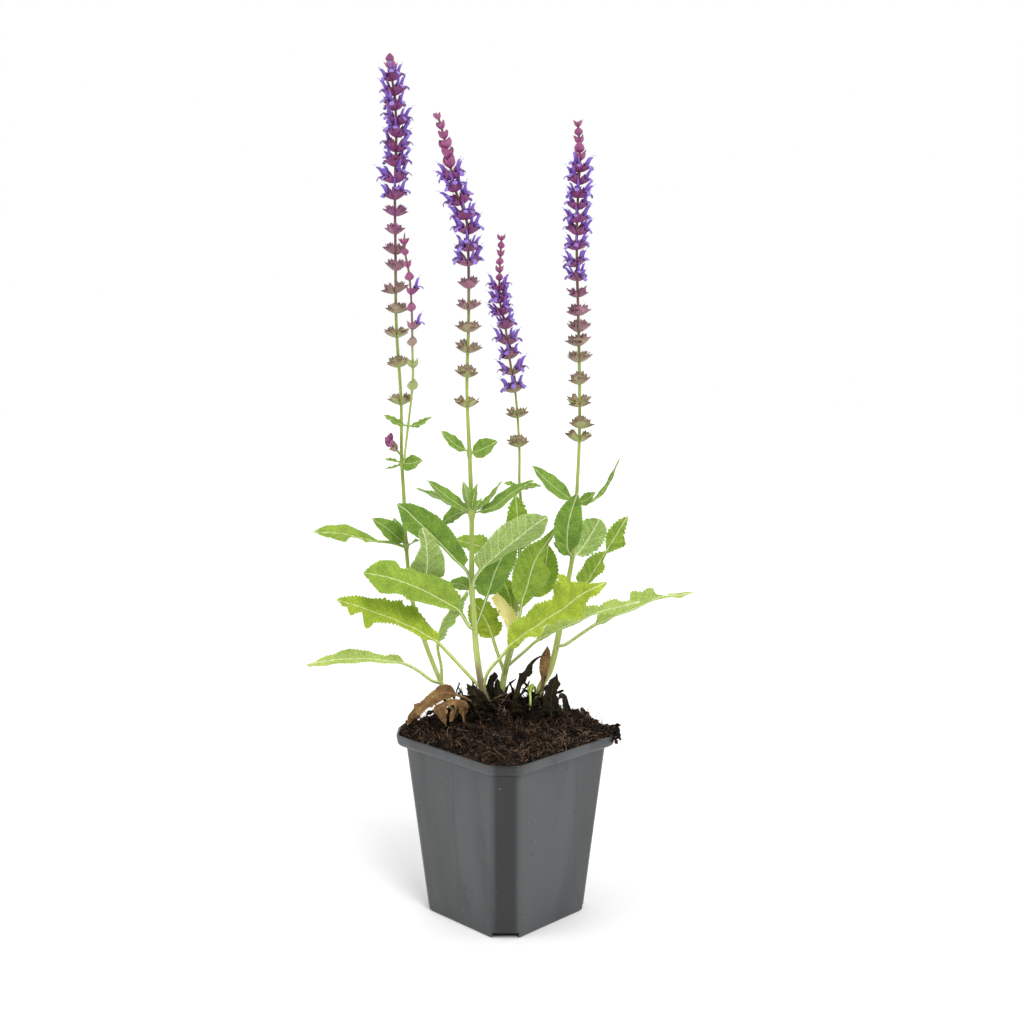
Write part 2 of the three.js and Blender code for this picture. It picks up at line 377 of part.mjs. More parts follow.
// Dry leaves on the soil: like the large leaves, but curled, and ending in the soil.
const DRY_LEAVES = {
  dry_leaf_curled: {
    tint: "leaf_dry", stalk: 0.36, wave: 0.6, fold: -0.15,
    path: [[-12.6, -9, 103.8], [-15.7, -9.5, 111.9], [-20.6, -11, 115.8], [-25.2, -12, 117.7],
      [-30.2, -12.5, 119.3], [-34.8, -12.5, 117.5], [-38.9, -12, 114.6], [-43.1, -11, 111.3],
      [-46.8, -9, 107.5], [-49.5, -7, 104.3], [-50.7, -6, 100.2]],
    face: [[0, -1, 0.2], [0, -1, 0.2]],
    left: [[1, 1.2], [9, 3.1], [28, 3.5], [46, 3.2], [53, 2.5], [65, 2.9], [74, 2.5], [76, 4.4], [94, 1.7]],
    right: [[2, 0.9], [4, 1.9], [11, 3.4], [23, 4], [29, 3], [56, 1.9], [64, 3.1], [70, 1.7], [89, 0.5]],
  },
  dry_leaf_front: {
    tint: "leaf_dry", stalk: 0.2, wave: 0.4, fold: 0.15,
    path: [[-21.1, -15, 99.4], [-21.6, -15.5, 110], [-22, -16, 113.8], [-24.5, -16.5, 115.3],
      [-28, -17, 115.4], [-31.6, -17.5, 114.1], [-33.8, -17.5, 112.1], [-33.1, -17, 109.1],
      [-31.2, -16.5, 105.8], [-30.2, -16, 101.8]],
    face: [[0, -1, 0.2], [0, -1, 0.2]],
    left: [[8, 1.8], [18, 1.9], [24, 10.7], [36, 1.5], [50, 1.7], [60, 5.6], [71, 3.1]],
    right: [[7, 2.2], [22, 2.7], [28, 1.7], [46, 1.1], [59, 1.4], [64, 2.4], [76, 1.2], [84, 1.4]],
  },
  dry_leaf_dark: {
    tint: "leaf_black", stalk: 0.25, wave: 0.5, fold: 0.2,
    path: [[-8.5, -9, 103.3], [-10.6, -9.5, 110.8], [-13.1, -10.5, 115.3], [-16.3, -12, 119.9],
      [-19.8, -13, 123.7]],
    face: [[0, -1, 0.2], [0, -1, 0.2]],
    left: [[29, 4.3], [45, 4.4], [52, 1.7], [62, 1], [74, 3.2], [90, 1.6]],
    right: [[11, 4], [28, 3], [53, 3.4], [68, 2.4], [78, 2.5], [88, 1.1]],
  },
  dry_leaf_strip: {
    tint: "leaf_dry", stalk: 0.08, wave: 0.4, fold: 0.25,
    path: [[4, -8, 104], [4.5, -8, 110.4], [5.2, -8, 115.1], [6.3, -7.5, 119.2], [7.8, -7, 123.8],
      [9.8, -7, 128], [12.3, -7, 131.4], [14.6, -7, 134.3], [18.2, -7, 136.7], [21.4, -7, 137]],
    face: [[0, -1, 0.2], [0, -1, 0.2]],
    left: [[6, 1.5], [38, 1.4], [49, 1.7], [54, 2.4], [56, 1.2], [61, 0.7], [69, 1.3], [86, 0.5]],
    right: [[11, 1.6], [38, 1.2], [48, 2.5], [54, 2.1], [62, 3.3], [73, 0.9], [83, 0.6]],
  },
  dry_leaf_standing: {
    tint: "leaf_black", stalk: 0.29, wave: 0.6, fold: 0.2,
    path: [[23.1, -9, 99.1], [23.1, -9, 109.6], [23.3, -9, 115.4], [23.8, -9, 120.1], [24.9, -9, 124.3],
      [25.9, -9, 128.2]],
    face: [[0, -1, 0.15], [0, -1, 0.15]],
    left: [[6, 3.9], [33, 4], [79, 2.7], [92, 0.3]],
    right: [[7, 4.5], [33, 3.7], [50, 2.1], [79, 3.4], [85, 1.7], [95, 0.8]],
  },
  dry_leaf_low: {
    tint: "leaf_black", stalk: 0.35, wave: 0.5, fold: 0.2,
    path: [[31.6, -8, 99.3], [31.3, -8, 108.8], [30.7, -8.3, 113.1], [29.6, -8.8, 116.1],
      [28.1, -9.2, 116.9], [26.8, -9.5, 115.7]],
    face: [[0, -1, 0.15], [0, -1, 0.15]],
    left: [[18, 2.1], [64, 1.7], [98, 0.9]],
    right: [[16, 2], [43, 1.2], [84, 1.2]],
  },
  dry_sheath: {
    on: "right", tint: "leaf_dry", stalk: 0.2, wave: 0.3, fold: -0.2,
    path: [[16.5, 0.5, 115], [18.9, -0.5, 117.7], [19.4, -1.2, 123.8], [19.9, -1.4, 128.6],
      [20.6, -1.4, 133.9], [21.2, -1.4, 140.8]],
    face: [[0, -1, 0.15], [0, -1, 0.15]],
    left: [[10, 1.2], [20, 1.3], [32, 2.2], [45, 2.6], [67, 2.8], [82, 1.8]],
    right: [[10, 0.9], [24, 1.7], [48, 2.1], [71, 2.3], [88, 1.7]],
  },
  new_leaflet: {
    tint: "leaf_fresh", stalk: 0.69, wave: 0.3, fold: 0.3,
    path: [[12.5, -11, 103.9], [12.5, -12, 116.3], [12.4, -12.3, 118.7], [12.9, -12.5, 121.4],
      [14.3, -13, 124.1]],
    face: [[0, -1, 0.3], [0, -1, 0.3]],
    left: [[13, 1.1], [41, 2.1], [87, 1]],
    right: [[22, 1.2], [60, 1.8], [89, 1.1]],
  },
  dry_leaf_back: {
    tint: "leaf_black", stalk: 0.13, wave: 0.5, fold: 0.2,
    path: [[-7.4, 2, 101], [-7.4, 1.8, 107.5], [-7.4, 1.5, 112.9], [-7.5, 1.5, 118.2], [-6.9, 1.2, 122.1],
      [-6.1, 1, 125.9]],
    face: [[0, -1, 0.1], [0, -1, 0.1]],
    left: [[16, 3.4], [36, 2.6], [50, 1.2], [68, 2.4], [91, 1.7]],
    right: [[16, 2.9], [55, 1.4], [76, 1.2], [92, 2.6], [99, 1.4]],
  },
  dry_leaf_stump: {
    tint: "leaf_dry", stalk: 0.14, wave: 0.5, fold: -0.2,
    path: [[-3, -1, 99.8], [-3, -1.2, 105.2], [-3.1, -1.4, 110], [-3.5, -1.6, 114.3], [-4.3, -1.6, 118.6],
      [-4.4, -1.4, 123]],
    face: [[0, -1, 0.1], [0, -1, 0.1]],
    left: [[12, 3.6], [61, 2.4], [93, 1.1]],
    right: [[12, 4.2], [54, 4.4], [62, 2.6], [74, 1.5], [93, 1.3]],
  },
};

const BLADE = 0.7; // thickness of a leaf blade
const TIP = 0.35; // least half width of a blade
const TOOTH = 0.84; // every second row of a blade's edge is drawn in to this share
const RIPPLE = 2.1; // radians from row to row of the edges' rise and fall
// Rows of points along the blade and along the stalk, and the stalk's thickness and width.
const LARGE = { rows: 10, stalkRows: 3, size: 1.7 };
const SMALL = { rows: 4, stalkRows: 1, size: 1.1 };
const DRY = { rows: 7, stalkRows: 2, size: 1.4 };
const SMALL_SHAPE = { stalk: 0.12, fold: 0.2, wave: 0.3 };

const FINISH = {
  pot_plastic: { color: "#4b4e51", roughness: 0.35 },
  peat: { color: "#2c2019", roughness: 0.95 },
  stem: { color: "#a3b070", roughness: 0.6 },
  leaf_fresh: { color: "#a2c243", roughness: 0.6 },
  leaf_mid: { color: "#86b440", roughness: 0.6 },
  leaf_dark: { color: "#689a3c", roughness: 0.6 },
  leaf_pale: { color: "#a9c56c", roughness: 0.65 },
  leaf_yellow: { color: "#d8cd78", roughness: 0.7 },
  leaf_dry: { color: "#8a6040", roughness: 0.85 },
  leaf_black: { color: "#33271f", roughness: 0.9 },
  bud_magenta: { color: "#8e3a78", roughness: 0.6 },
  petal_violet: { color: "#5b3fb0", roughness: 0.55 },
  calyx_spent: { color: "#76505a", roughness: 0.65 },
};

// ---------------------------------------------------------------- meshes and solids

const vec = (p) => new THREE.Vector3(...p);
const lerp = THREE.MathUtils.lerp;
const rad = THREE.MathUtils.degToRad;

function meshOf(points, faces) {
  const geometry = new THREE.BufferGeometry();
  geometry.setAttribute("position", new THREE.Float32BufferAttribute(points.flatMap((p) => p.toArray()), 3));
  geometry.setIndex(faces.flat());
  return geometry;
}

// A closed solid through rings of points that run counter-clockwise seen from the last ring.
function loft(rings) {
  const n = rings[0].length;
  const faces = [];
  for (let i = 0; i + 1 < rings.length; i += 1) {
    for (let j = 0; j < n; j += 1) {
      const [a, b] = [i * n + j, i * n + ((j + 1) % n)];
      faces.push([a, b, b + n], [a, b + n, a + n]);
    }
  }
  const top = (rings.length - 1) * n;
  for (let j = 1; j + 1 < n; j += 1) faces.push([0, j + 1, j], [top, top + j, top + j + 1]);
  return meshOf(rings.flat(), faces);
}

// A thin closed solid between an upper and a lower sheet of points, both split into triangles alike.
function sheetSolid(upper, lower) {
  const [rows, cols] = [upper.length, upper[0].length];
  const below = rows * cols;
  const at = (i, j) => i * cols + j;
  const faces = [];
  for (let i = 0; i + 1 < rows; i += 1) {
    for (let j = 0; j + 1 < cols; j += 1) {
      const [a, b, c, d] = [at(i, j), at(i + 1, j), at(i + 1, j + 1), at(i, j + 1)];
      faces.push([a, c, b], [a, d, c], [below + a, below + b, below + c], [below + a, below + c, below + d]);
    }
    const [a, b] = [at(i, 0), at(i + 1, 0)];
    const [c, d] = [at(i, cols - 1), at(i + 1, cols - 1)];
    faces.push([a, b, below + b], [a, below + b, below + a], [c, below + d, d], [c, below + c, below + d]);
  }
  for (let j = 0; j + 1 < cols; j += 1) {
    const [a, b] = [at(0, j), at(0, j + 1)];
    const [c, d] = [at(rows - 1, j), at(rows - 1, j + 1)];
    faces.push([a, below + b, b], [a, below + a, below + b], [c, d, below + d], [c, below + d, below + c]);
  }
  return meshOf([...upper.flat(), ...lower.flat()], faces);
}

function solidOf(geometry) {
  const bare = geometry.clone();
  bare.deleteAttribute("normal");
  bare.deleteAttribute("uv");
  const merged = mergeVertices(bare, 1e-4);
  return new wasm.Manifold(new wasm.Mesh({
    numProp: 3,
    vertProperties: new Float32Array(merged.attributes.position.array),
    triVerts: new Uint32Array(merged.index.array),
  }));
}

function geometryOf(solid) {
  const mesh = solid.getMesh();
  const geometry = new THREE.BufferGeometry();
  geometry.setAttribute("position", new THREE.Float32BufferAttribute(mesh.vertProperties, 3));
  geometry.setIndex(Array.from(mesh.triVerts));
  return geometry;
}

const joined = (geometries) => geometries.map(solidOf).reduce((all, one) => all.add(one));

const salvia = new THREE.Group();

function place(name, tint, solid) {
  const geometry = geometryOf(solid);
  geometry.computeVertexNormals();
  const mesh = new THREE.Mesh(geometry, new THREE.MeshStandardMaterial({ metalness: 0, ...FINISH[tint] }));
  mesh.name = name;
  salvia.add(mesh);
}

// ---------------------------------------------------------------- pot and soil

// A square with chamfered corners and softened edges, one corner towards -Y, at height z.
function section(side, leg, z) {
  const half = side / 2;
  const round = POT.round;
  const slant = round * Math.SQRT1_2;
  const points = [];
  for (let k = 0; k < 4; k += 1) {
    const turn = k * Math.PI / 2 - TURN;
    const corner = [
      [half - leg - round, -half], [half - leg + slant, -half + slant],
      [half - slant, -half + leg - slant], [half, -half + leg + round],
    ];
    for (const [x, y] of corner) {
      points.push(new THREE.Vector3(x, y, z).applyAxisAngle(new THREE.Vector3(0, 0, 1), turn));
    }
  }
  return points;
}

const bodySide = (z) => lerp(POT.footSide, POT.bodySide, z / RIM_Z);

// The outline at one step of the rim, drawn in and lifted by inset.
function rimSection([rise, share], inset) {
  const side = lerp(POT.bodySide, POT.rimSide, share) - 2 * inset;
  return section(side, lerp(POT.leg, POT.rimLeg, share), RIM_Z + rise + inset);
}

// The pot's hollow: its outside drawn in by inset, from bottom up to top.
function hollow(inset, bottom, top) {
  return loft([
    section(bodySide(bottom) - 2 * inset, POT.leg, bottom),
    ...POT.rim.slice(0, -1).map((step) => rimSection(step, inset)),
    section(POT.rimSide - 2 * inset, POT.rimLeg, top),
  ]);
}

// The four corner blocks of the floor: the space under each chamfer, grown by a margin.
function cornerBlocks(top, margin, bottom) {
  const width = POT.leg * Math.SQRT2 + 2 * margin;
  const reach = POT.archDepth + margin;
  const outer = (POT.footSide - POT.leg) * Math.SQRT1_2;
  return [0, 1, 2, 3].map((k) => {
    const height = top - bottom;
    const block = new THREE.BoxGeometry(width, 2 * reach, height);
    block.translate(0, -outer, bottom + height / 2);
    return solidOf(block.rotateZ(k * Math.PI / 2));
  });
}

function drains() {
  const middle = (POT.footSide - POT.leg) * Math.SQRT1_2 - POT.archDepth / 2;
  return [0, 1, 2, 3].map((k) => {
    const drain = new THREE.CylinderGeometry(POT.drainRadius, POT.drainRadius, 20, 12);
    drain.rotateX(Math.PI / 2).translate(0, -middle, 0);
    return solidOf(drain.rotateZ(k * Math.PI / 2));
  });
}

function pot() {
  const outside = loft([
    section(POT.footSide - 2 * POT.footLip, POT.leg, 0),
    section(bodySide(1), POT.leg, 1),
    ...POT.rim.map((step) => rimSection(step, 0)),
  ]);
  let cavity = solidOf(hollow(POT.wall, POT.floor, POT.height + 2));
  for (const block of cornerBlocks(POT.archHeight + POT.floor, POT.wall, 0)) cavity = cavity.subtract(block);
  let shell = solidOf(outside).subtract(cavity);
  for (const block of cornerBlocks(POT.archHeight, 0, -1)) shell = shell.subtract(block);
  for (const drain of drains()) shell = shell.subtract(drain);
  return shell;
}

// The soil's surface: a broad mound that falls to the wall, with a crumbly relief.
function soilHeight(x, y) {
  const wall = SOIL_SIDE * Math.SQRT1_2;
  const out = Math.min(1, (Math.abs(x) + Math.abs(y)) / wall);
  const relief = SOIL.waves.reduce((sum, [size, a, b, c]) => sum + size * Math.sin(a * x + b * y + c), 0);
  const heaps = SOIL.heaps.reduce((sum, [hx, hy, height, spread]) => (
    sum + height * Math.exp(-((x - hx) ** 2 + (y - hy) ** 2) / spread ** 2)), 0);
  return SOIL.edge + SOIL.mound * (1 - out * out) ** 1.2 + SOIL.lump * relief * (1 - out ** 6) + heaps;
}

// The rim of a soil ring follows the pot's wall; inner rings are the same outline, drawn in.
function soilRing(share) {
  const outline = new THREE.Path(section(SOIL_SIDE, POT.rimLeg, 0)
    .map((p) => new THREE.Vector2(p.x, p.y)));
  outline.closePath();
  return outline.getSpacedPoints(SOIL.around).slice(0, -1).map((p) => {
    const [x, y] = [p.x * share, p.y * share];
    return new THREE.Vector3(x, y, soilHeight(x, y));
  });
}

function soilSurface() {
  const rings = [];
  for (let i = 0; i < SOIL.rings; i += 1) rings.push(soilRing(0.999 - i / SOIL.rings));
  const points = rings.flat();
  const n = SOIL.around;
  const faces = [];
  for (let i = 0; i + 1 < SOIL.rings; i += 1) {
    for (let j = 0; j < n; j += 1) {
      const [a, b] = [i * n + j, i * n + ((j + 1) % n)];
      faces.push([a, b, b + n], [a, b + n, a + n]);
    }
  }
  const inner = (SOIL.rings - 1) * n;
  const middle = points.push(new THREE.Vector3(0, 0, soilHeight(0, 0))) - 1;
  for (let j = 0; j < n; j += 1) faces.push([inner + j, inner + ((j + 1) % n), middle]);
  return { points, faces };
}

// Everything under the soil's surface raised by lift, down to a flat bottom.
function underSurface(lift) {
  const { points, faces } = soilSurface();
  const n = SOIL.around;
  const base = points.length;
  const wall = points.slice(0, n).map((p) => new THREE.Vector3(p.x, p.y, -1));
  const all = [...points.map((p) => new THREE.Vector3(p.x, p.y, p.z + lift)), ...wall];
  for (let j = 0; j < n; j += 1) {
    const next = (j + 1) % n;
    faces.push([base + j, base + next, next], [base + j, next, j]);
    if (j > 0 && j + 1 < n) faces.push([base, base + next, base + j]);
  }
  return solidOf(meshOf(all, faces));
}

function soil(stems) {
  const bottom = POT.floor + CLEARANCE;
  const inside = solidOf(hollow(POT.wall + CLEARANCE, bottom, POT.height + 20));
  let fill = underSurface(0).intersect(inside);
  for (const block of cornerBlocks(POT.archHeight + POT.floor + CLEARANCE, POT.wall + CLEARANCE, 0)) {
    fill = fill.subtract(block);
  }
  for (const stem of stems) fill = fill.subtract(stem);
  return fill;
}

// ---------------------------------------------------------------- stems and leaves

for (const stem of Object.values(STEMS)) {
  stem.axis = new THREE.CatmullRomCurve3(stem.path.map(vec), false, "centripetal");
}

// The point of a rising axis at height z, and its direction there, by halving the curve.
function axisAt(axis, z) {
  let [low, high] = [0, 1];
  for (let i = 0; i < 30; i += 1) {
    const middle = (low + high) / 2;
    if (axis.getPoint(middle).z < z) low = middle;
    else high = middle;
  }
  return { point: axis.getPoint(low), along: axis.getTangent(low) };
}

function girthAt(girth, z) {
  const above = girth.findIndex(([height]) => height >= z);
  if (above === 0) return girth[0][1];
  if (above < 0) return girth[girth.length - 1][1];
  const [[z0, r0], [z1, r1]] = [girth[above - 1], girth[above]];
  return lerp(r0, r1, (z - z0) / (z1 - z0));
}

// Heights from one to another in even steps of about the given size.
function evenly(from, to, step) {
  const count = Math.max(1, Math.round((to - from) / step));
  return Array.from({ length: count + 1 }, (_, i) => lerp(from, to, i / count));
}

// A square stalk along a stem's axis through the given heights, grown by a margin.
function stalk(stem, heights, margin = 0) {
  return loft(heights.map((z) => {
    const { point, along } = axisAt(stem.axis, z);
    const across = new THREE.Vector3(1, 0, 0).addScaledVector(along, -along.x).normalize();
    const back = new THREE.Vector3().crossVectors(along, across);
    const r = girthAt(stem.girth, z) + margin;
    const corner = (a, b) => point.clone().addScaledVector(across, a * r).addScaledVector(back, b * r);
    return [corner(-1, -1), corner(1, -1), corner(1, 1), corner(-1, 1)];
  }));
}

// The half width of a blade, 0 to 1, at t along it: widest at belly, and rounder as blunt falls.
function bladeOutline(t, belly, blunt) {
  const warped = t ** (Math.log(0.5) / Math.log(belly));
  return Math.max(0, Math.sin(Math.PI * warped)) ** blunt;
}

const bitten = (bites, side, t) => (bites ?? []).reduce((share, [where, at, reach, depth]) => {
  const near = Math.abs(t - at) / reach;
  return where === side && near < 1 ? share * (1 - depth * Math.cos(near * Math.PI / 2)) : share;
}, 1);

// How far a margin with an outline of its own lies from the midrib at t along the blade, in mm.
function outlined(margin, t) {
  const points = [[0, 0], ...margin, [100, 0]];
  const k = Math.max(1, points.findIndex(([at]) => at >= 100 * t));
  const [[from, low], [to, high]] = [points[k - 1], points[k]];
  return lerp(low, high, (100 * t - from) / (to - from));
}

// The half width of a blade towards one margin, in mm; tooth is the row's share of it.
function bladeHalf(shape, edge, t, tooth) {
  if (shape[edge]) return outlined(shape[edge], t);
  const { width, bites, belly = 0.4, blunt = 0.8 } = shape;
  return width / 2 * bladeOutline(t, belly, blunt) * tooth * bitten(bites, edge, t);
}

// One leaf with its stalk, as a thin solid whose edge is notched at every second row.
function leaf(shape, { rows, stalkRows, size }) {
  const { path, stalk: stalkShare, face, fold, wave } = shape;
  const rib = new THREE.CatmullRomCurve3(path.map(vec), false, "centripetal");
  const [upper, lower] = [[], []];
  for (let i = 0; i <= stalkRows + rows; i += 1) {
    const onBlade = i > stalkRows;
    const t = onBlade ? (i - stalkRows) / rows : 0;
    const s = onBlade ? lerp(stalkShare, 1, t) : stalkShare * i / stalkRows;
    const along = rib.getTangentAt(s);
    const up = vec(face[0]).lerp(vec(face[1]), s);
    const side = new THREE.Vector3().crossVectors(along, up).normalize();
    const normal = new THREE.Vector3().crossVectors(side, along);
    const tooth = i % 2 ? 1 : TOOTH;
    const half = (edge) => Math.max(
      lerp(size / 2, TIP, t),
      onBlade ? bladeHalf(shape, edge, t, tooth) : 0,
    );
    const [left, right] = [half("left"), half("right")];
    const ripple = onBlade ? wave * Math.sin(i * RIPPLE) : 0;
    const thick = onBlade ? BLADE : lerp(size, BLADE, (s / stalkShare) ** 4);
    const mid = rib.getPointAt(s);
    const row = [
      mid.clone().addScaledVector(side, -left).addScaledVector(normal, fold * left + ripple),
      mid,
      mid.clone().addScaledVector(side, right).addScaledVector(normal, fold * right - ripple),
    ];
    upper.push(row.map((p) => p.clone().addScaledVector(normal, thick / 2)));
    lower.push(row.map((p) => p.clone().addScaledVector(normal, -thick / 2)));
  }
  return sheetSolid(upper, lower);
}

// Each stem grown by the clearance: it cuts its hole in the soil and the seats of its leaves.
const ROOT_Z = 100;
const STEM_STEP = 12;
const seats = Object.fromEntries(["left", "centre", "short", "right"].map((name) => [
  name, solidOf(stalk(STEMS[name], evenly(ROOT_Z - CLEARANCE, STEMS[name].spikeZ, STEM_STEP), CLEARANCE)),
]));

function leafyStem(name) {
  const stem = STEMS[name];
  const parts = [stalk(stem, evenly(ROOT_Z, stem.spikeZ, STEM_STEP))];
  if (name === "left") {
    const side = STEMS.side;
    parts.push(stalk(side, evenly(side.path[0][2] + 0.5, side.spikeZ, STEM_STEP)));
  }
  for (const { path, width, face } of STEM_LEAVES[name]) {
    parts.push(leaf({ path, width, face: [face, face], ...SMALL_SHAPE }, SMALL));
  }
  return joined(parts);
}

// ---------------------------------------------------------------- flower spikes

// A spent floret along +X: a calyx with a narrow root, three teeth and a sunk mouth between them.
function calyx() {
  const { root, calyx: length, mouth } = WHORL;
  const teeth = [90, 210, 330].map((a) => [length, mouth * Math.cos(rad(a)), mouth * Math.sin(rad(a))]);
  const points = [[root, 0, 0], ...teeth, [0.75 * length, 0, 0]].map(vec);
  return meshOf(points, [[0, 2, 1], [0, 3, 2], [0, 1, 3], [4, 1, 2], [4, 2, 3], [4, 3, 1]]);
}

// An open floret along +X: out of the calyx rise a sickle hood and a hanging lower lip, and gape.
function floret() {
  const { root, calyx: length, mouth, hood, lip } = WHORL;
  const points = [[root, 0, 0], [length, mouth, -0.3], [length, -mouth, -0.3], [length, 0, 0.8 * mouth],
    [length + hood, 0, 2.6], [length + 1.8, 0, -lip], [0.8 * length, 0, -0.2]].map(vec);
  return meshOf(points, [[0, 3, 1], [0, 2, 3], [0, 1, 5], [0, 5, 2], [3, 4, 1], [3, 2, 4], [6, 1, 4],
    [6, 4, 2], [6, 5, 1], [6, 2, 5]]);
}

// A bract along +X: a flat pointed scale with a keel below.
function bract() {
  const { root, bract: length, bractWidth: width } = WHORL;
  const wide = 0.5 * length;
  const points = [[root, 0, 0], [wide, width / 2, 0.4], [wide, -width / 2, 0.4], [length, 0, 0.7],
    [wide, 0, -0.7]].map(vec);
  return meshOf(points, [[0, 2, 3], [0, 3, 1], [0, 4, 2], [2, 4, 3], [3, 4, 1], [1, 4, 0]]);
}

function aimed(geometry, rise, azimuth, size, point) {
  geometry.scale(size, size, size).rotateY(-rad(rise)).rotateZ(rad(azimuth));
  return geometry.translate(point.x, point.y, point.z);
}

// The pieces of one whorl. kind is spent, flowers or buds; open flowers hide their bracts.
function whorl(point, azimuth, kind, size) {
  const parts = [];
  for (const side of [azimuth, azimuth + 180]) {
    const rise = kind === "buds" ? WHORL.budRise : WHORL.bractRise;
    if (kind !== "flowers") parts.push(aimed(bract(), rise, side, size, point));
    if (kind === "buds") continue;
    for (const step of [-1, 1]) {
      const shape = kind === "flowers" ? floret() : calyx();
      parts.push(aimed(shape, WHORL.rise, side + step * WHORL.fan, size, point));
    }
  }
  return parts;
}

// The middle of a straight-sided rachis at height z, between the two of its rings around it.
function rachisAt(axis, heights, z) {
  const i = Math.max(1, heights.findIndex((height) => height >= z));
  const [low, high] = [heights[i - 1], heights[i]];
  return axisAt(axis, low).point.lerp(axisAt(axis, high).point, (z - low) / (high - low));
}

function spike(name) {
  const stem = STEMS[name];
  const tipZ = stem.path[stem.path.length - 1][2];
  const used = ZONES.filter(([kind]) => SPIKES[name][kind].length > 0);
  let bottom = stem.spikeZ + CLEARANCE;
  let azimuth = SPIKES[name].turn;
  used.forEach(([kind, tint], i) => {
    const whorls = SPIKES[name][kind];
    const next = i === used.length - 1 ? tipZ + CLEARANCE : SPIKES[name][used[i + 1][0]][0] - RING_DROP;
    const bends = whorls.filter((z, k) => k % 2 === 0 && z - RING_DROP > bottom + 1).map((z) => z - RING_DROP);
    const heights = [bottom, ...bends, next - CLEARANCE];
    const parts = [stalk(stem, heights)];
    for (const z of whorls) {
      const share = (z - stem.spikeZ) / (tipZ - stem.spikeZ);
      const size = lerp(...WHORL.sizes[kind], share);
      parts.push(...whorl(rachisAt(stem.axis, heights, z), azimuth, kind, size));
      azimuth += 90;
    }
    const whole = joined(parts);
    place(`spike_${name}_${kind}`, tint, stem.on ? whole.subtract(seats[stem.on]) : whole);
    bottom = next;
  });
}

// ---------------------------------------------------------------- the assembly

place("pot", "pot_plastic", pot());
place("soil", "peat", soil(Object.values(seats)));
for (const name of Object.keys(STEM_LEAVES)) place(`stem_${name}`, "stem", leafyStem(name));
for (const name of Object.keys(SPIKES)) spike(name);
for (const [name, shape] of Object.entries(LEAVES)) {
  place(name, shape.tint, solidOf(leaf(shape, LARGE)).subtract(seats[shape.on]));
}
const soilSeat = underSurface(CLEARANCE);
for (const [name, shape] of Object.entries(DRY_LEAVES)) {
  const whole = solidOf(leaf(shape, DRY)).subtract(soilSeat);
  place(name, shape.tint, shape.on ? whole.subtract(seats[shape.on]) : whole);
}

salvia.rotation.z = TURN;

export default salvia;
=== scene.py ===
# %% [markdown]
# # A perennial salvia in its nursery pot
# This lesson dresses a packed plant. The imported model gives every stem, leaf, flower spike and the pot at
# their real size and place, as plain solids. Here each of them gets a finer surface of the same form, and a
# finish. Shapes are worked out with numpy as grids of points, so a leaf or a pot is one formula over two
# parameters.

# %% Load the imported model
import json
import math

import bpy
import numpy as np
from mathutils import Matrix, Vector

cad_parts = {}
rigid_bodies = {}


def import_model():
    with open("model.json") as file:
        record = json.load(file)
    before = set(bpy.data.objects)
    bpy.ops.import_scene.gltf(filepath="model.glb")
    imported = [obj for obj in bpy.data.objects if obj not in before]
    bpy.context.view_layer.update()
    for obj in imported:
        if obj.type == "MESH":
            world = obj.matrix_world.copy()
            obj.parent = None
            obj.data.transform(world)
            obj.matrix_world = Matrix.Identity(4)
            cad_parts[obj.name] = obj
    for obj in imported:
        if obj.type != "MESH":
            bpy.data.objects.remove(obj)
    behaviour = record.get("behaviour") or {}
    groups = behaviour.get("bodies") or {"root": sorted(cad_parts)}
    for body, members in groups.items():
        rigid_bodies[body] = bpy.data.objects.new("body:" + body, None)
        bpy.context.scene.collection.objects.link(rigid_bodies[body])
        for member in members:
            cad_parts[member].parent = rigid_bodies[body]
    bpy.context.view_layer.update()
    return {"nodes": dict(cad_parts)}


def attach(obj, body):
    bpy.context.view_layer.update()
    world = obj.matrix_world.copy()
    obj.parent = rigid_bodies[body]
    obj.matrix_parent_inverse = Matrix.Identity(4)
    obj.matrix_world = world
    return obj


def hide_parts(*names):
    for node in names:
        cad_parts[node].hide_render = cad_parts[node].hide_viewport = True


for leftover in list(bpy.data.objects):
    bpy.data.objects.remove(leftover)
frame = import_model()
print("packed nodes:", len(frame["nodes"]))

# %% [markdown]
# ## The drawing frame
# The pot's faces are square to X and Y, but the plant is easier to describe with one corner of the pot
# towards the viewer, at -Y. So every table below is in millimetres in that drawing frame, and one helper
# turns finished points by 45 degrees and brings them to metres. Every object then stays at the origin, with
# its place in its mesh.

# %% Drawing frame
MM = 0.001
TURN = math.radians(45)


def turned(points):
    """Drawing frame in mm to model frame in metres: (x, y) turned by TURN about Z, and all of it times MM."""
    x, y, z = np.moveaxis(np.asarray(points, float), -1, 0)
    c, s = math.cos(TURN), math.sin(TURN)
    return np.stack([c * x - s * y, s * x + c * y, z], axis=-1) * MM


print("a pot corner at", turned([0, -60, 0]).round(4))

# %% [markdown]
# ## The camera
# A 50 mm lens about seven tenths of a metre away, a little above the flowers' foot and tipped down, sees the
# whole plant with one corner of the pot in front.

# %% Camera
CAMERA_AT = (3.2, -710.8, 318.3)
CAMERA_DOWN = math.radians(8.69)

lens = bpy.data.cameras.new("camera")
lens.lens = 50
lens.sensor_width = 36
lens.clip_start = 0.05
camera = bpy.data.objects.new("camera", lens)
camera.location = turned(CAMERA_AT)
camera.rotation_euler = (math.pi / 2 - CAMERA_DOWN, 0, TURN)
bpy.context.scene.collection.objects.link(camera)
bpy.context.scene.camera = camera
print("camera at", [round(value, 3) for value in camera.location])

# %% [markdown]
# ## Grids, forms and pieces
# A form is a dictionary: points, quads, triangles, marks (numbers that ride on the points, for the finishes
# to read) and paint (which finish each face takes). Forms can be joined, copied hundreds of times by one
# matrix product, and turned into a Blender mesh at the end.

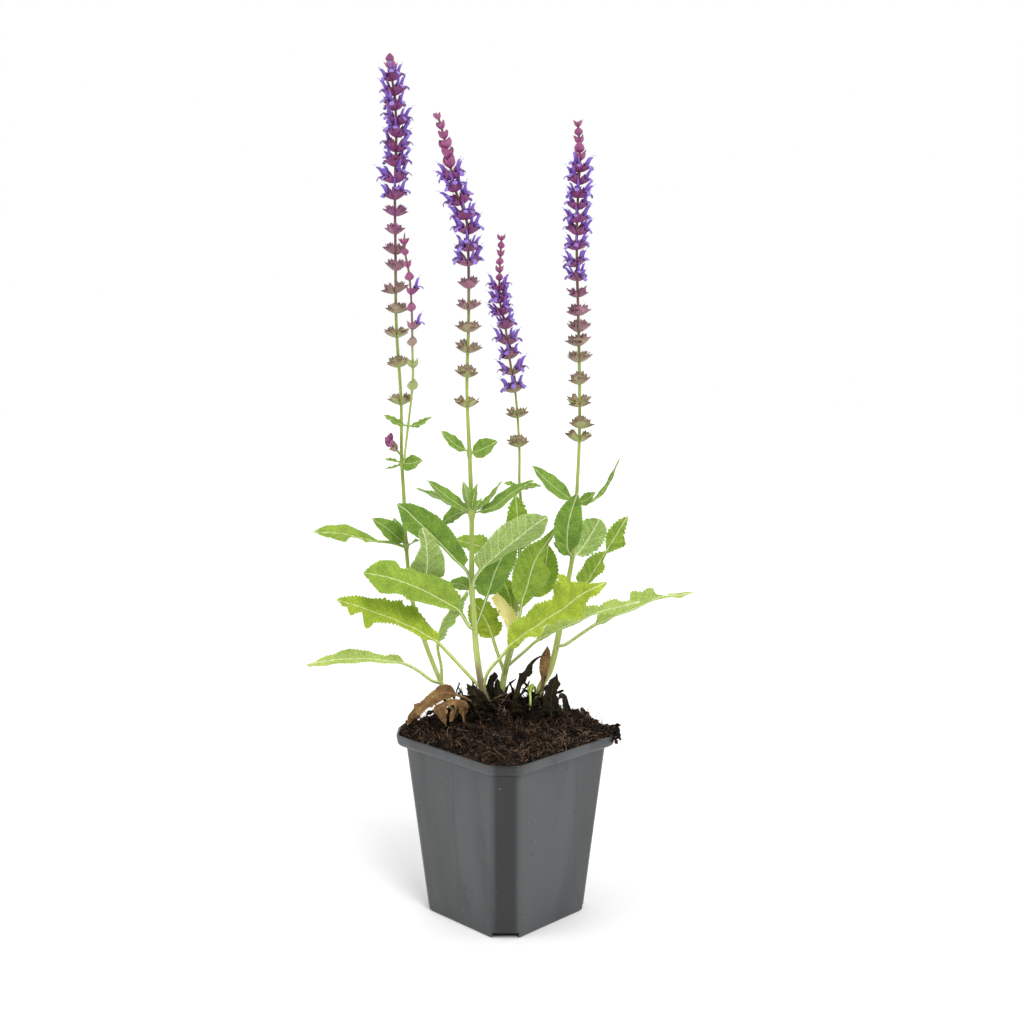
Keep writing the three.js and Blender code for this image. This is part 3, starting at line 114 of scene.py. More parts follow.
# %% Forms
NO_FACES = {3: np.zeros((0, 3), int), 4: np.zeros((0, 4), int)}


def grid_quads(rows, cols, around=False):
    """Quads between neighbours on a rows by cols grid; around also joins the last column to the first."""
    i, j = np.meshgrid(np.arange(rows - 1), np.arange(cols if around else cols - 1), indexing="ij")
    k = (j + 1) % cols
    corners = [i * cols + j, i * cols + k, (i + 1) * cols + k, (i + 1) * cols + j]
    return np.stack(corners, axis=-1).reshape(-1, 4)


def sheet_quads(rows, cols):
    """Quads of a thin sheet. Each ring crosses its upper side in cols points and comes back along the lower
    one, and the two ends are closed by quads between the sides."""
    around = 2 * cols
    j = np.arange(cols - 1)
    start = np.stack([around - 1 - j, around - 2 - j, j + 1, j], axis=-1)
    end = start[:, ::-1] + (rows - 1) * around
    return np.concatenate([grid_quads(rows, around, around=True), start, end])


def capped(rings, cols):
    """Triangles that close a tube of rings x cols points, when the two middle points come after the grid."""
    j = np.arange(cols)
    k = (j + 1) % cols
    last = (rings - 1) * cols
    low, high = rings * cols, rings * cols + 1
    bottom = np.stack([np.full(cols, low), k, j], axis=-1)
    top = np.stack([np.full(cols, high), last + j, last + k], axis=-1)
    return np.concatenate([bottom, top])


def form(points, quads=NO_FACES[4], tris=NO_FACES[3], marks=None, paint=None):
    """A form from its arrays. paint is one finish number for each face, the quads first, or 0 for all."""
    faces = len(quads) + len(tris)
    return {
        "points": np.asarray(points, float).reshape(-1, 3),
        "quads": np.asarray(quads, int),
        "tris": np.asarray(tris, int),
        "marks": marks or {},
        "paint": np.zeros(faces, int) if paint is None else np.asarray(paint, int),
    }


def join(forms):
    """Several forms as one: point numbers are shifted by the points that come before."""
    shifts = np.cumsum([0] + [len(f["points"]) for f in forms[:-1]])
    quad_paint = [f["paint"][: len(f["quads"])] for f in forms]
    tri_paint = [f["paint"][len(f["quads"]):] for f in forms]
    return form(
        np.concatenate([f["points"] for f in forms]),
        np.concatenate([f["quads"] + k for f, k in zip(forms, shifts)]),
        np.concatenate([f["tris"] + k for f, k in zip(forms, shifts)]),
        {key: np.concatenate([f["marks"][key] for f in forms]) for key in forms[0]["marks"]},
        np.concatenate(quad_paint + tri_paint),
    )


def copies(template, turns, places, sizes, marks):
    """One copy of the template for each 3x3 turn: point = turn (size * template point) + place.
    marks holds one row for each copy, which all points of that copy carry."""
    count, width, quads = len(places), len(template["points"]), len(template["quads"])
    sized = np.asarray(sizes, float)[:, None, None] * template["points"][None]
    points = np.einsum("nij,nkj->nki", turns, sized) + np.asarray(places)[:, None]
    shift = (np.arange(count) * width)[:, None, None]
    carried = {key: np.tile(value, count) for key, value in template["marks"].items()}
    carried.update({key: np.repeat(value, width, axis=0) for key, value in marks.items()})
    paint = [np.tile(part, count) for part in np.split(template["paint"], [quads])]
    return form(
        points,
        (template["quads"][None] + shift).reshape(-1, 4),
        (template["tris"][None] + shift).reshape(-1, 3),
        carried,
        np.concatenate(paint),
    )


def plain_object(name, shape):
    """A form as a Blender object with neither marks nor finishes."""
    mesh = bpy.data.meshes.new(name)
    faces = shape["quads"].tolist() + shape["tris"].tolist()
    mesh.from_pydata(turned(shape["points"]).tolist(), [], faces)
    made = bpy.data.objects.new(name, mesh)
    bpy.context.scene.collection.objects.link(made)
    return made


def piece(name, shape, finishes, nodes=(), sharp=None):
    """Turns a form into an object that rides on the plant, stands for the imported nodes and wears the
    finishes. sharp is the angle in degrees past which an edge stays sharp."""
    made = plain_object(name, shape)
    mesh = made.data
    for key, values in shape["marks"].items():
        kind, field = ("FLOAT_VECTOR", "vector") if values.ndim == 2 else ("FLOAT", "value")
        mark = mesh.attributes.new(key, kind, "POINT")
        mark.data.foreach_set(field, values.astype(np.float32).ravel())
    mesh.polygons.foreach_set("material_index", shape["paint"].astype(np.int32))
    mesh.shade_smooth()
    if sharp is not None:
        mesh.set_sharp_from_angle(angle=math.radians(sharp))
    for finish in finishes:
        mesh.materials.append(finish)
    mesh.validate()
    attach(made, "root")
    if nodes:
        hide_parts(*nodes)
    triangles = 2 * len(shape["quads"]) + len(shape["tris"])
    print(f"{name}: {triangles} triangles")


print("a 3 x 4 grid has", len(grid_quads(3, 4)), "quads")

# %% [markdown]
# ## Noise and curves
# Nothing on a plant is quite even. Smooth random relief comes from random numbers on a lattice, blended
# between the corners. Every path through points is a centripetal Catmull-Rom curve, which goes through each
# point with no loops between them, and is walked at even steps of its length.

# %% Noise and curves
LATTICE_MIX = np.array([127.1, 311.7, 74.7])
SEED_STEP = 17.3
SINE_SIZE = 43758.5453


def eased(t):
    """3t^2 - 2t^3, which leaves 0 and reaches 1 without a corner."""
    return t * t * (3 - 2 * t)


def ramp(values, low, high):
    """0 below low, 1 above high, and eased between them."""
    return eased(np.clip((values - low) / (high - low), 0, 1))


def noise(points, size, seed=0):
    """Smooth relief from -1 to 1 with lumps of the given size: each corner of the cell around a point has the
    broken-off decimals of a large sine, and the eight are blended by an eased share along each axis."""
    scaled = np.asarray(points, float) / size
    cell = np.floor(scaled)
    t = eased(scaled - cell)
    total = 0
    for corner in np.ndindex(2, 2, 2):
        weight = np.prod(np.where(corner, t, 1 - t), axis=-1)
        height = np.sin((cell + corner) @ LATTICE_MIX + SEED_STEP * seed) * SINE_SIZE % 1.0
        total = total + weight * height
    return 2 * total - 1


def unit(vectors):
    """Vectors brought to length 1."""
    return vectors / np.linalg.norm(vectors, axis=-1, keepdims=True)


def rounded(path, per_span=60):
    """Centripetal Catmull-Rom curve: each span is the cubic whose slopes weigh the neighbouring chords by the
    square roots of their lengths. The first and last point are mirrored to give the ends their slopes."""
    p = np.array(path, float)
    p = np.vstack([2 * p[0] - p[1], p, 2 * p[-1] - p[-2]])
    root = np.sqrt(np.linalg.norm(np.diff(p, axis=0), axis=1))
    t = np.linspace(0, len(path) - 1, per_span * (len(path) - 1) + 1)
    k = np.minimum(t.astype(int), len(path) - 2)
    f = (t - k)[:, None]
    p0, p1, p2, p3 = (p[k + i] for i in range(4))
    d0, d1, d2 = (root[k + i][:, None] for i in range(3))
    slope1 = ((p1 - p0) / d0 - (p2 - p0) / (d0 + d1) + (p2 - p1) / d1) * d1
    slope2 = ((p2 - p1) / d1 - (p3 - p1) / (d1 + d2) + (p3 - p2) / d2) * d1
    square = 3 * (p2 - p1) - 2 * slope1 - slope2
    cube = 2 * (p1 - p2) + slope1 + slope2
    return p1 + slope1 * f + square * f**2 + cube * f**3


def run_along(line):
    """How far along a line each of its points lies."""
    return np.concatenate([[0], np.cumsum(np.linalg.norm(np.diff(line, axis=0), axis=1))])


def between(rows, run, at):
    """Rows that lie between the given ones, where run reaches the values at."""
    return np.stack([np.interp(at, run, column) for column in rows.T], axis=-1)


def walk(path, shares):
    """Points and directions at shares of a rounded path's length, and that length."""
    dense = rounded(path)
    run = run_along(dense)
    at = np.asarray(shares) * run[-1]
    ahead = between(np.gradient(dense, run, axis=0), run, at)
    return between(dense, run, at), unit(ahead), run[-1]


def at_height(path, heights):
    """Points and directions of a path that rises all the way, at the given heights."""
    dense = rounded(path)
    rise = dense[:, 2]
    ahead = between(np.gradient(dense, rise, axis=0), rise, heights)
    return between(dense, rise, heights), unit(ahead)


print("a bent path is", round(walk([[0, 0, 0], [10, 0, 5], [20, 0, 0]], [0, 1])[2], 2), "mm long")

# %% [markdown]
# ## Writing finishes
# A finish is a node tree around one Principled shader. These helpers add a node and fill or link its inputs
# in one line, so that each finish below reads like a recipe: where the pattern sits, its colours, its
# roughness and its fine relief.

# %% Finish helpers
def tone(code):
    """A six-figure colour code in Blender's linear light."""
    srgb = np.array([int(code[i:i + 2], 16) for i in (1, 3, 5)]) / 255
    linear = np.where(srgb <= 0.04045, srgb / 12.92, ((srgb + 0.055) / 1.055) ** 2.4)
    return (*linear.tolist(), 1.0)


class Finish:
    """A material being written: each method adds one node, or two, and gives back the last one's output."""

    def __init__(self, name, **fixed):
        self.material = bpy.data.materials.new(name)
        self.material.use_nodes = True
        self.tree = self.material.node_tree
        self.shader = self.tree.nodes["Principled BSDF"]
        for key, value in fixed.items():
            self.shader.inputs[key.replace("_", " ")].default_value = value

    def node(self, kind, inputs, output=0, **options):
        made = self.tree.nodes.new("ShaderNode" + kind)
        for key, value in options.items():
            setattr(made, key, value)
        for key, value in inputs.items():
            if isinstance(value, bpy.types.NodeSocket):
                self.tree.links.new(value, made.inputs[key])
            else:
                made.inputs[key].default_value = value
        return made.outputs[output]

    def mark(self, name, output="Vector"):
        return self.node("Attribute", {}, output, attribute_name=name)

    def spot(self):
        return self.node("TexCoord", {}, "Object")

    def split(self, vector):
        parts = self.node("SeparateXYZ", {"Vector": vector}).node.outputs
        return parts["X"], parts["Y"], parts["Z"]

    def maths(self, operation, *values):
        return self.node("Math", dict(enumerate(values)), operation=operation)

    def off(self, a, b):
        """How far a value is from another, either way."""
        return self.maths("ABSOLUTE", self.maths("SUBTRACT", a, b))

    def step(self, value, low, high, out_low=0.0, out_high=1.0):
        """Smooth step of a value from low to high."""
        ends = {"Value": value, "From Min": low, "From Max": high, "To Min": out_low, "To Max": out_high}
        return self.node("MapRange", ends, interpolation_type="SMOOTHSTEP")

    def mix(self, factor, a, b, blend="MIX"):
        return self.node("Mix", {0: factor, 6: a, 7: b}, 2, data_type="RGBA", blend_type=blend)

    def glaze(self, mask, share, base, over):
        """The base with another colour laid over it, where the mask says and at a share of its strength."""
        return self.mix(self.maths("MULTIPLY", mask, share), base, over)

    def noise(self, vector, scale, detail=3.0, roughness=0.6):
        inputs = {"Vector": vector, "Scale": scale, "Detail": detail, "Roughness": roughness}
        return self.node("TexNoise", inputs)

    def cells(self, vector, scale, feature="DISTANCE_TO_EDGE"):
        return self.node("TexVoronoi", {"Vector": vector, "Scale": scale}, feature=feature)

    def stretch(self, vector, scale):
        return self.node("Mapping", {"Vector": vector, "Scale": scale})

    def bump(self, height, distance, strength=1.0):
        return self.node("Bump", {"Height": height, "Distance": distance, "Strength": strength})

    def wear(self, **sockets):
        """Links sockets to the shader and hands over the material."""
        for key, value in sockets.items():
            self.tree.links.new(value, self.shader.inputs[key.replace("_", " ")])
        return self.material


print("a middle grey in linear light:", round(tone("#808080")[0], 3))

# %% [markdown]
# ## The floor and the light
# The plant stands on a white floor in a white studio. A large soft sun comes from the front right and above,
# a weaker one from the left, and the surroundings are white all round but for a darker stretch behind the
# camera: the glossy pot mirrors it in the corner that faces the viewer, and white on both sides of it. The
# pot's finish also paints its cut corners darker, as a painted reflection.

# %% Floor and light
DARK_SIDE = (0.0, -1.0, 0.12)  # where the darker stretch of the studio is, in the drawing frame
DARK_FADE = (0.15, 0.9)  # cosines of the angle from there between which the white gives way
STUDIO_WHITE, STUDIO_DARK = 1.0, 0.12
SUNS = {  # place in the drawing frame, strength, and how wide each looks in degrees
    "key": ((380, -700, 800), 1.9, 30),
    "fill": ((-700, -300, 700), 0.7, 40),
}
FLOOR_HALF = 3.0  # metres
FLOOR_WHITE = (0.93, 0.93, 0.93, 1)


def soft_sun(name, start, strength, spread):
    """A sun that shines from a place in the drawing frame towards the plant, and looks spread degrees wide,
    so that its shadows have soft edges."""
    lamp = bpy.data.lights.new(name, "SUN")
    lamp.energy = strength
    lamp.angle = math.radians(spread)
    made = bpy.data.objects.new(name, lamp)
    made.rotation_euler = Vector(-turned(start)).to_track_quat("-Z", "Y").to_euler()
    bpy.context.scene.collection.objects.link(made)


def studio_world():
    """White surroundings, darker where the direction lies close to DARK_SIDE."""
    made = bpy.data.worlds.new("studio")
    made.use_nodes = True
    nodes, links = made.node_tree.nodes, made.node_tree.links
    where = nodes.new("ShaderNodeTexCoord")
    close = nodes.new("ShaderNodeVectorMath")
    close.operation = "DOT_PRODUCT"
    close.inputs[1].default_value = unit(turned(DARK_SIDE)).tolist()
    fade = nodes.new("ShaderNodeMapRange")
    fade.interpolation_type = "SMOOTHSTEP"
    ends = {"From Min": DARK_FADE[0], "From Max": DARK_FADE[1], "To Min": STUDIO_WHITE, "To Max": STUDIO_DARK}
    for key, value in ends.items():
        fade.inputs[key].default_value = value
    links.new(where.outputs["Generated"], close.inputs[0])
    links.new(close.outputs["Value"], fade.inputs["Value"])
    links.new(fade.outputs["Result"], nodes["Background"].inputs["Strength"])
    nodes["Background"].inputs["Color"].default_value = (1, 1, 1, 1)
    return made


floor_mesh = bpy.data.meshes.new("floor")
corners = [(-1, -1), (1, -1), (1, 1), (-1, 1)]
floor_mesh.from_pydata([(FLOOR_HALF * x, FLOOR_HALF * y, 0) for x, y in corners], [], [(0, 1, 2, 3)])
floor_mesh.materials.append(Finish("white floor", Roughness=0.9, Base_Color=FLOOR_WHITE).material)
floor = bpy.data.objects.new("floor", floor_mesh)
bpy.context.scene.collection.objects.link(floor)

bpy.context.scene.world = studio_world()
bpy.context.scene.view_settings.view_transform = "Standard"
for name, settings in SUNS.items():
    soft_sun(name, *settings)

# %% [markdown]
# ## The pot
# A nursery pot is formed from one thin sheet of dark grey plastic: a square with cut corners that narrows to
# the foot, and steps out a few millimetres to its rim. The bends are soft, so each is an arc here. The
# outside is lofted, then hollowed and notched with Boolean cuts, which keep crisp edges where the mould has
# them.

# %% Pot sizes
POT = {
    "height": 95, "rim_side": 90, "rim_height": 7, "rim_leg": 10.5, "body_side": 81.5, "foot_side": 66.2,
    "leg": 9.4, "wall": 1.1, "floor": 1.5, "foot_lip": 0.6, "arch_height": 3, "arch_depth": 13,
    "drain_radius": 3.2, "bend": 4.8,
}
RIM_Z = POT["height"] - POT["rim_height"]
# The wall steps out to the rim: height over the step's foot, and share of the way out.
RIM_STEPS = [(0, 0), (0.4, 0.1), (0.8, 0.33), (1.2, 0.56), (1.8, 0.76), (2.6, 0.87), (3.6, 0.92), (6.3, 1.0),
             (6.7, 0.99), (6.93, 0.965), (7, 0.93)]
WALL_HEIGHTS = (1.4, 12, 30, 50, 70, RIM_Z - 0.6)
CORNER_TURN = math.radians(45)  # the outline turns by this much at each of its eight corners
BEND_POINTS = 9


def pot_section(side, leg, z, bend=POT["bend"]):
    """A square with cut corners at height z. Each of its eight corners is an arc: the arc's centre lies
    bend / cos(22.5) in from the corner, and its points look from one flat's normal to the next one's."""
    reach = np.array([side / 2, side / 2 - leg])
    points = []
    for k, start in enumerate(np.radians(np.arange(8) * 45 - 45)):
        quarter = math.radians((k // 2) * 90 - 45)
        c, s = math.cos(quarter), math.sin(quarter)
        flat, along = reach if k % 2 == 0 else reach[::-1]
        corner = np.array([flat * c - along * s, flat * s + along * c])
        middle = start + CORNER_TURN / 2
        outward = np.array([math.cos(middle), math.sin(middle)])
        centre = corner - bend / math.cos(CORNER_TURN / 2) * outward
        looks = start + np.linspace(0, CORNER_TURN, BEND_POINTS)
        arc = centre + bend * np.stack([np.cos(looks), np.sin(looks)], axis=-1)
        points.append(np.column_stack([arc, np.full(BEND_POINTS, z)]))
    return np.concatenate(points)


def lofted(sections):
    """A closed solid through rings of points that run counter-clockwise seen from above, the lowest first."""
    rings, cols = len(sections), len(sections[0])
    ends = [sections[0].mean(axis=0), sections[-1].mean(axis=0)]
    points = np.concatenate([*sections, ends])
    return form(points, grid_quads(rings, cols, around=True), capped(rings, cols))


def body_side(z):
    """The side of the wall's square at height z, widening evenly from the foot to the rim's step."""
    return POT["foot_side"] + (POT["body_side"] - POT["foot_side"]) * z / RIM_Z


def rim_section(rise, share, inset=0.0):
    """The outline at one step of the rim, drawn in and lifted by inset."""
    side = POT["body_side"] + (POT["rim_side"] - POT["body_side"]) * share - 2 * inset
    leg = POT["leg"] + (POT["rim_leg"] - POT["leg"]) * share
    return pot_section(side, leg, RIM_Z + rise + inset, POT["bend"] - inset)


def hollow(inset, bottom, top):
    """Rings of the pot's outside drawn in by inset: the wall, the rim's steps, and straight on to the top."""
    bend = POT["bend"] - inset
    wall = [pot_section(body_side(z) - 2 * inset, POT["leg"], z, bend) for z in (bottom, RIM_Z - 1)]
    steps = [rim_section(rise, share, inset) for rise, share in RIM_STEPS if rise < 6.5 - inset]
    return [*wall, *steps, pot_section(POT["rim_side"] - 2 * inset, POT["rim_leg"], top, bend)]


print("the pot is", POT["rim_side"], "mm across and", POT["height"], "mm tall")

# %% [markdown]
# The finish of the pot: dark grey polypropylene with a soft gloss. The sheet ripples a little from top to
# bottom, which breaks the reflections into long upright streaks; thin dark lines and lighter bands along
# them are painted reflections in the colour, and the cut corners are painted darker as a reflection of the
# studio's dark side. It has a few specks and pale scuffs.

# %% Pot finish
# painted reflection: the cut corners are painted near black, as the dark side of the studio mirrored in them
PAINTED_DARK_CORNER = (0.0100, 0.0056)  # metres off a cut corner's middle where its darker tone starts and is full
SPECKS = ((140, 0.11, "#0c0c0c"), (150, 0.05, "#8c8e8e"))  # cells a metre, size in cells, and colour


def pot_finish():
    """Dark grey in upright streaks, with thin dark lines and lighter bands painted in as reflections, cut
    corners painted darker as a reflection of the studio's dark side, dark and pale specks, and pale scuffs."""
    plastic = Finish("pot plastic", Specular_IOR_Level=0.65)
    spot = plastic.spot()
    upright = plastic.stretch(spot, (1, 1, 0.12))
    streaks = plastic.noise(upright, 70, 2)
    painted_ripple_reflections = plastic.noise(plastic.stretch(spot, (1, 1, 0.2)), 38, 2, 0.45)
    scuffs = plastic.noise(spot, 900, 4)
    x, y, _ = plastic.split(spot)
    off_corner = plastic.off(plastic.maths("ABSOLUTE", x), plastic.maths("ABSOLUTE", y))
    colour = plastic.mix(plastic.step(streaks, 0.35, 0.7), tone("#282b2d"), tone("#393d3f"))
    # painted reflections: thin dark lines where the ripple noise crosses its middle, and lighter bands where
    # it is high
    painted_dark_lines = plastic.step(plastic.off(painted_ripple_reflections, 0.5), 0.02, 0.0, 0, 0.35)
    colour = plastic.mix(painted_dark_lines, colour, tone("#1b1d1e"))
    colour = plastic.mix(plastic.step(painted_ripple_reflections, 0.5, 0.62, 0, 0.35), colour, tone("#4b4f51"))
    # painted reflection: the cut corners darkened to near black
    colour = plastic.mix(plastic.step(off_corner, *PAINTED_DARK_CORNER), colour, tone("#060707"))
    for scale, size, shade in SPECKS:
        dots = plastic.step(plastic.cells(spot, scale, "F1"), size, 0.6 * size)
        some = plastic.step(plastic.noise(spot, scale * 0.6, 1), 0.5, 0.55)
        colour = plastic.glaze(dots, some, colour, tone(shade))
    colour = plastic.mix(plastic.step(scuffs, 0.62, 0.75, 0, 0.25), colour, tone("#77787a"))
    roughness = plastic.step(streaks, 0.3, 0.75, 0.3, 0.46)
    relief = plastic.bump(plastic.noise(upright, 45, 1), 0.0011, 0.6)
    return plastic.wear(Base_Color=colour, Roughness=roughness, Normal=relief)


pot_plastic = pot_finish()
print("the pot's finish has", len(pot_plastic.node_tree.nodes), "nodes")

# %% Pot shell
FOOT_REACH = (POT["foot_side"] - POT["leg"]) / math.sqrt(2)  # from the middle to a cut corner's face
PAST_FOOT = 9  # the cutting blocks stand out this far past the foot
BELOW = -2  # and start this far under it
DRAIN_POINTS = 24
POT_SHARP = 32  # degrees past which an edge of the pot stays sharp
DRAIN_ENDS = (-5, 12)  # heights between which the rods that cut the drains run
MOUTH_START, MOUTH_END, MOUTH_EASE = -0.5, 0.3, 0.8  # round the rim's top the inside widens by the ease


def cut_away(target, tool):
    """Cuts the tool out of the target, keeps the result as the target's mesh and removes the tool."""
    modifier = target.modifiers.new("cut", "BOOLEAN")
    modifier.object, modifier.operation, modifier.solver = tool, "DIFFERENCE", "EXACT"
    bpy.context.view_layer.update()
    finished = target.evaluated_get(bpy.context.evaluated_depsgraph_get())
    result = bpy.data.meshes.new_from_object(finished)
    target.modifiers.clear()
    target.data = result
    bpy.data.objects.remove(tool)


def prism(outline, low, high):
    """A closed solid that carries a flat outline straight up from low to high."""
    return lofted([np.column_stack([outline, np.full(len(outline), z)]) for z in (low, high)])


def corner_blocks(top, margin):
    """The four blocks under the cut corners, as one form of four boxes."""
    half_width = POT["leg"] / math.sqrt(2) + margin
    near, far = -FOOT_REACH - PAST_FOOT, -(FOOT_REACH - POT["arch_depth"] - margin)
    block = np.array([(-half_width, near), (half_width, near), (half_width, far), (-half_width, far)])
    boxes = []
    for k in range(4):
        c, s = math.cos(k * math.pi / 2), math.sin(k * math.pi / 2)
        boxes.append(prism(block @ np.array([[c, s], [-s, c]]), BELOW, top))
    return join(boxes)


def drains():
    """Four upright rods, one through the raised floor at each corner."""
    reach, radius = FOOT_REACH - POT["arch_depth"] / 2, POT["drain_radius"]
    angles = np.linspace(0, 2 * math.pi, DRAIN_POINTS, endpoint=False)
    rods = []
    for k in range(4):
        x, y = reach * math.sin(k * math.pi / 2), -reach * math.cos(k * math.pi / 2)
        circle = np.stack([x + radius * np.cos(angles), y + radius * np.sin(angles)], axis=-1)
        rods.append(prism(circle, *DRAIN_ENDS))
    return join(rods)


def make_pot():
    """The outside, then the inside, the notches under the corners and the drains cut out of it."""
    height, leg, wall, arch = POT["height"], POT["leg"], POT["wall"], POT["arch_height"]
    shell = plain_object("pot_shell", lofted([
        pot_section(POT["foot_side"] - 2 * POT["foot_lip"], leg, 0),
        pot_section(body_side(1) - 0.3, leg, POT["foot_lip"]),
        *[pot_section(body_side(z), leg, z) for z in WALL_HEIGHTS],
        *[rim_section(rise, share) for rise, share in RIM_STEPS],
    ]))
    mouth = POT["rim_side"] - 2 * wall + MOUTH_EASE
    cavity = plain_object("cavity", lofted([
        *hollow(wall, POT["floor"], height + MOUTH_START),
        pot_section(mouth, POT["rim_leg"], height + MOUTH_END, POT["bend"] - wall),
    ]))
    cut_away(cavity, plain_object("arches", corner_blocks(arch + POT["floor"], wall)))
    cut_away(shell, cavity)
    cut_away(shell, plain_object("notches", corner_blocks(arch, 0)))
    cut_away(shell, plain_object("drains", drains()))
    return shell


pot_shell = make_pot()
pot_shell.data.materials.append(pot_plastic)
pot_shell.data.shade_smooth()
pot_shell.data.set_sharp_from_angle(angle=math.radians(POT_SHARP))
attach(pot_shell, "root")
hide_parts("pot")
print("pot_shell:", len(pot_shell.data.polygons), "faces")

# %% [markdown]
# ## The peat
# The pot is filled with fibrous peat that stands up in a mound around the stems. The bed is one surface over
# the whole mound, lumpy at three sizes. Crumbs of a few shapes and sizes lie on it, and fine light fibres
# stick out of it, as they do wherever potting peat has dried a little.

# %% Peat bed
SOIL = {"edge": 93.6, "mound": 12.8, "lump": 1.6, "gap": 0.3}
SOIL_HEAPS = [(-49, -3, 6, 5), (35, 1, 3.2, 7), (55, 0, 2, 4)]  # x, y, height and spread of each heap
SOIL_SIDE = POT["rim_side"] - 2 * (POT["wall"] + SOIL["gap"])
SOIL_WAVES = [[1, 0.31, 0.27, 0.7], [0.6, 0.62, -0.5, 0], [0.5, 0.55, 0.71, 2.6]]
SOIL_LUMPS = [(2.2, 7.0), (1.3, 3.2), (0.7, 1.5)]  # height and width of the lumps, in mm
SOIL_AROUND, SOIL_RINGS = 240, 80


def share_out(x, y):
    """How far out a place on the peat lies: |x| + |y| over the wall's reach, and never more than 1."""
    return np.minimum(1, (np.abs(x) + np.abs(y)) * math.sqrt(2) / SOIL_SIDE)


def soil_height(x, y):
    """A mound that falls to the wall as (1 - r^2)^1.2, where r is the share of the way out, with a few long
    waves and heaps on it; a heap falls as exp(-d^2 / spread^2)."""
    out = share_out(x, y)
    waves = sum(size * np.sin(a * x + b * y + c) for size, a, b, c in SOIL_WAVES)
    heaps = sum(
        top * np.exp(-((x - at) ** 2 + (y - by) ** 2) / spread**2) for at, by, top, spread in SOIL_HEAPS
    )
    return SOIL["edge"] + SOIL["mound"] * (1 - out**2) ** 1.2 + SOIL["lump"] * waves * (1 - out**6) + heaps


def crumbled(x, y):
    """The mound with its lumps: noise at three sizes, weaker towards the wall."""
    flat = np.stack([x, y, np.zeros_like(x)], axis=-1)
    lumps = sum(size * noise(flat, width, seed) for seed, (size, width) in enumerate(SOIL_LUMPS))
    return soil_height(x, y) + lumps * (1 - 0.55 * share_out(x, y) ** 4)


def around_pot(section, places):
    """Points of a closed outline at shares of its length."""
    closed = np.vstack([section, section[:1]])
    run = run_along(closed)
    return between(closed, run, places * run[-1])


def peat_bed():
    """Rings of the pot's own outline drawn in to the middle, lifted to the crumbled mound. Under the outer
    ring the bed follows the wall down to the floor."""
    places = np.linspace(0, 1, SOIL_AROUND, endpoint=False)
    inside = hollow(POT["wall"] + SOIL["gap"], POT["floor"] + SOIL["gap"], SOIL["edge"] - 0.8)
    walls = [around_pot(section, places) for section in inside]
    shares = np.linspace(1, 0, SOIL_RINGS, endpoint=False)
    flat = shares[:, None, None] * walls[-1][None, :, :2]
    top = np.concatenate([flat, crumbled(flat[..., 0], flat[..., 1])[..., None]], axis=-1)
    rings = np.concatenate([walls, top])
    middle = [[0, 0, POT["arch_height"] + 4], [0, 0, crumbled(np.zeros(1), np.zeros(1))[0]]]
    points = np.concatenate([rings.reshape(-1, 3), middle])
    return form(points, grid_quads(len(rings), SOIL_AROUND, around=True), capped(len(rings), SOIL_AROUND))


def peat_finish(name, dark, light, rust):
    """Dark peat: two browns in patches, rusty flecks, and a rough relief of grains and short fibres, with the
    hollows between the grains painted near black as shade.
    """
    peat = Finish(name, Roughness=0.95, Specular_IOR_Level=0.15)
    spot = peat.spot()
    patches = peat.noise(spot, 160, 5, 0.7)
    grains = peat.noise(spot, 1300, 5, 0.75)
    flecks = peat.noise(peat.stretch(spot, (1, 1, 2.6)), 750, 2)
    colour = peat.mix(peat.step(patches, 0.42, 0.64), tone(dark), tone(light))
    colour = peat.mix(peat.step(flecks, 0.58, 0.68, 0, 0.85), colour, tone(rust))
    # painted shade: where the grains' relief is lowest the colour goes near black
    colour = peat.mix(peat.step(grains, 0.38, 0.56, 0.85, 0), colour, tone("#070504"))
    return peat.wear(Base_Color=colour, Normal=peat.bump(grains, 0.0014, 1.0))


piece("peat_bed", peat_bed(), [peat_finish("peat", "#100b09", "#3c2d23", "#846650")], ["soil"])

# %% Crumbs
rng = np.random.default_rng(7)
GOLDEN = (1 + math.sqrt(5)) / 2
SPILLS = [  # count, middle and spread of the crumbs on the right corner of the rim
    (300, [54.5, -2, 95.4], [2.6, 4.0, 1.3]),
    (80, [56, -5.5, 93.8], [2.0, 2.6, 1.4]),
]


def crumb_template():
    """An icosahedron: its twelve corners are the corners of three golden rectangles."""
    signs = [(a, b * GOLDEN) for a in (-1, 1) for b in (-1, 1)]
    corners = [(0, a, b) for a, b in signs] + [(a, b, 0) for a, b in signs] + [(b, 0, a) for a, b in signs]
    points = unit(np.array(corners, float))
    gaps = np.linalg.norm(points[:, None] - points[None], axis=-1)
    near = (gaps > 0.1) & (gaps < 1.2)
    tris = np.array([
        (i, j, k) for i in range(12) for j in range(i + 1, 12) for k in range(j + 1, 12)
        if near[i, j] and near[j, k] and near[i, k]
    ])
    a, b, c = (points[tris[:, k]] for k in range(3))
    inward = np.einsum("ij,ij->i", np.cross(b - a, c - a), a + b + c) < 0
    tris[inward] = tris[inward][:, ::-1]
    return form(points, tris=tris)


def random_turns(count):
    """Random turns: the three axes of random frames, made square by QR."""
    squares, _ = np.linalg.qr(rng.normal(size=(count, 3, 3)))
    return squares * np.sign(np.linalg.det(squares))[:, None, None]


def on_mound(count, edge=0.97, power=0.5):
    """Random places over the mound: even over its area where power is 0.5, nearer the middle above that."""
    share = edge * rng.uniform(size=count) ** power
    outline = pot_section(SOIL_SIDE - 1, POT["rim_leg"], 0)
    flat = share[:, None] * around_pot(outline, rng.uniform(size=count))[:, :2]
    return np.column_stack([flat, crumbled(flat[:, 0], flat[:, 1])])


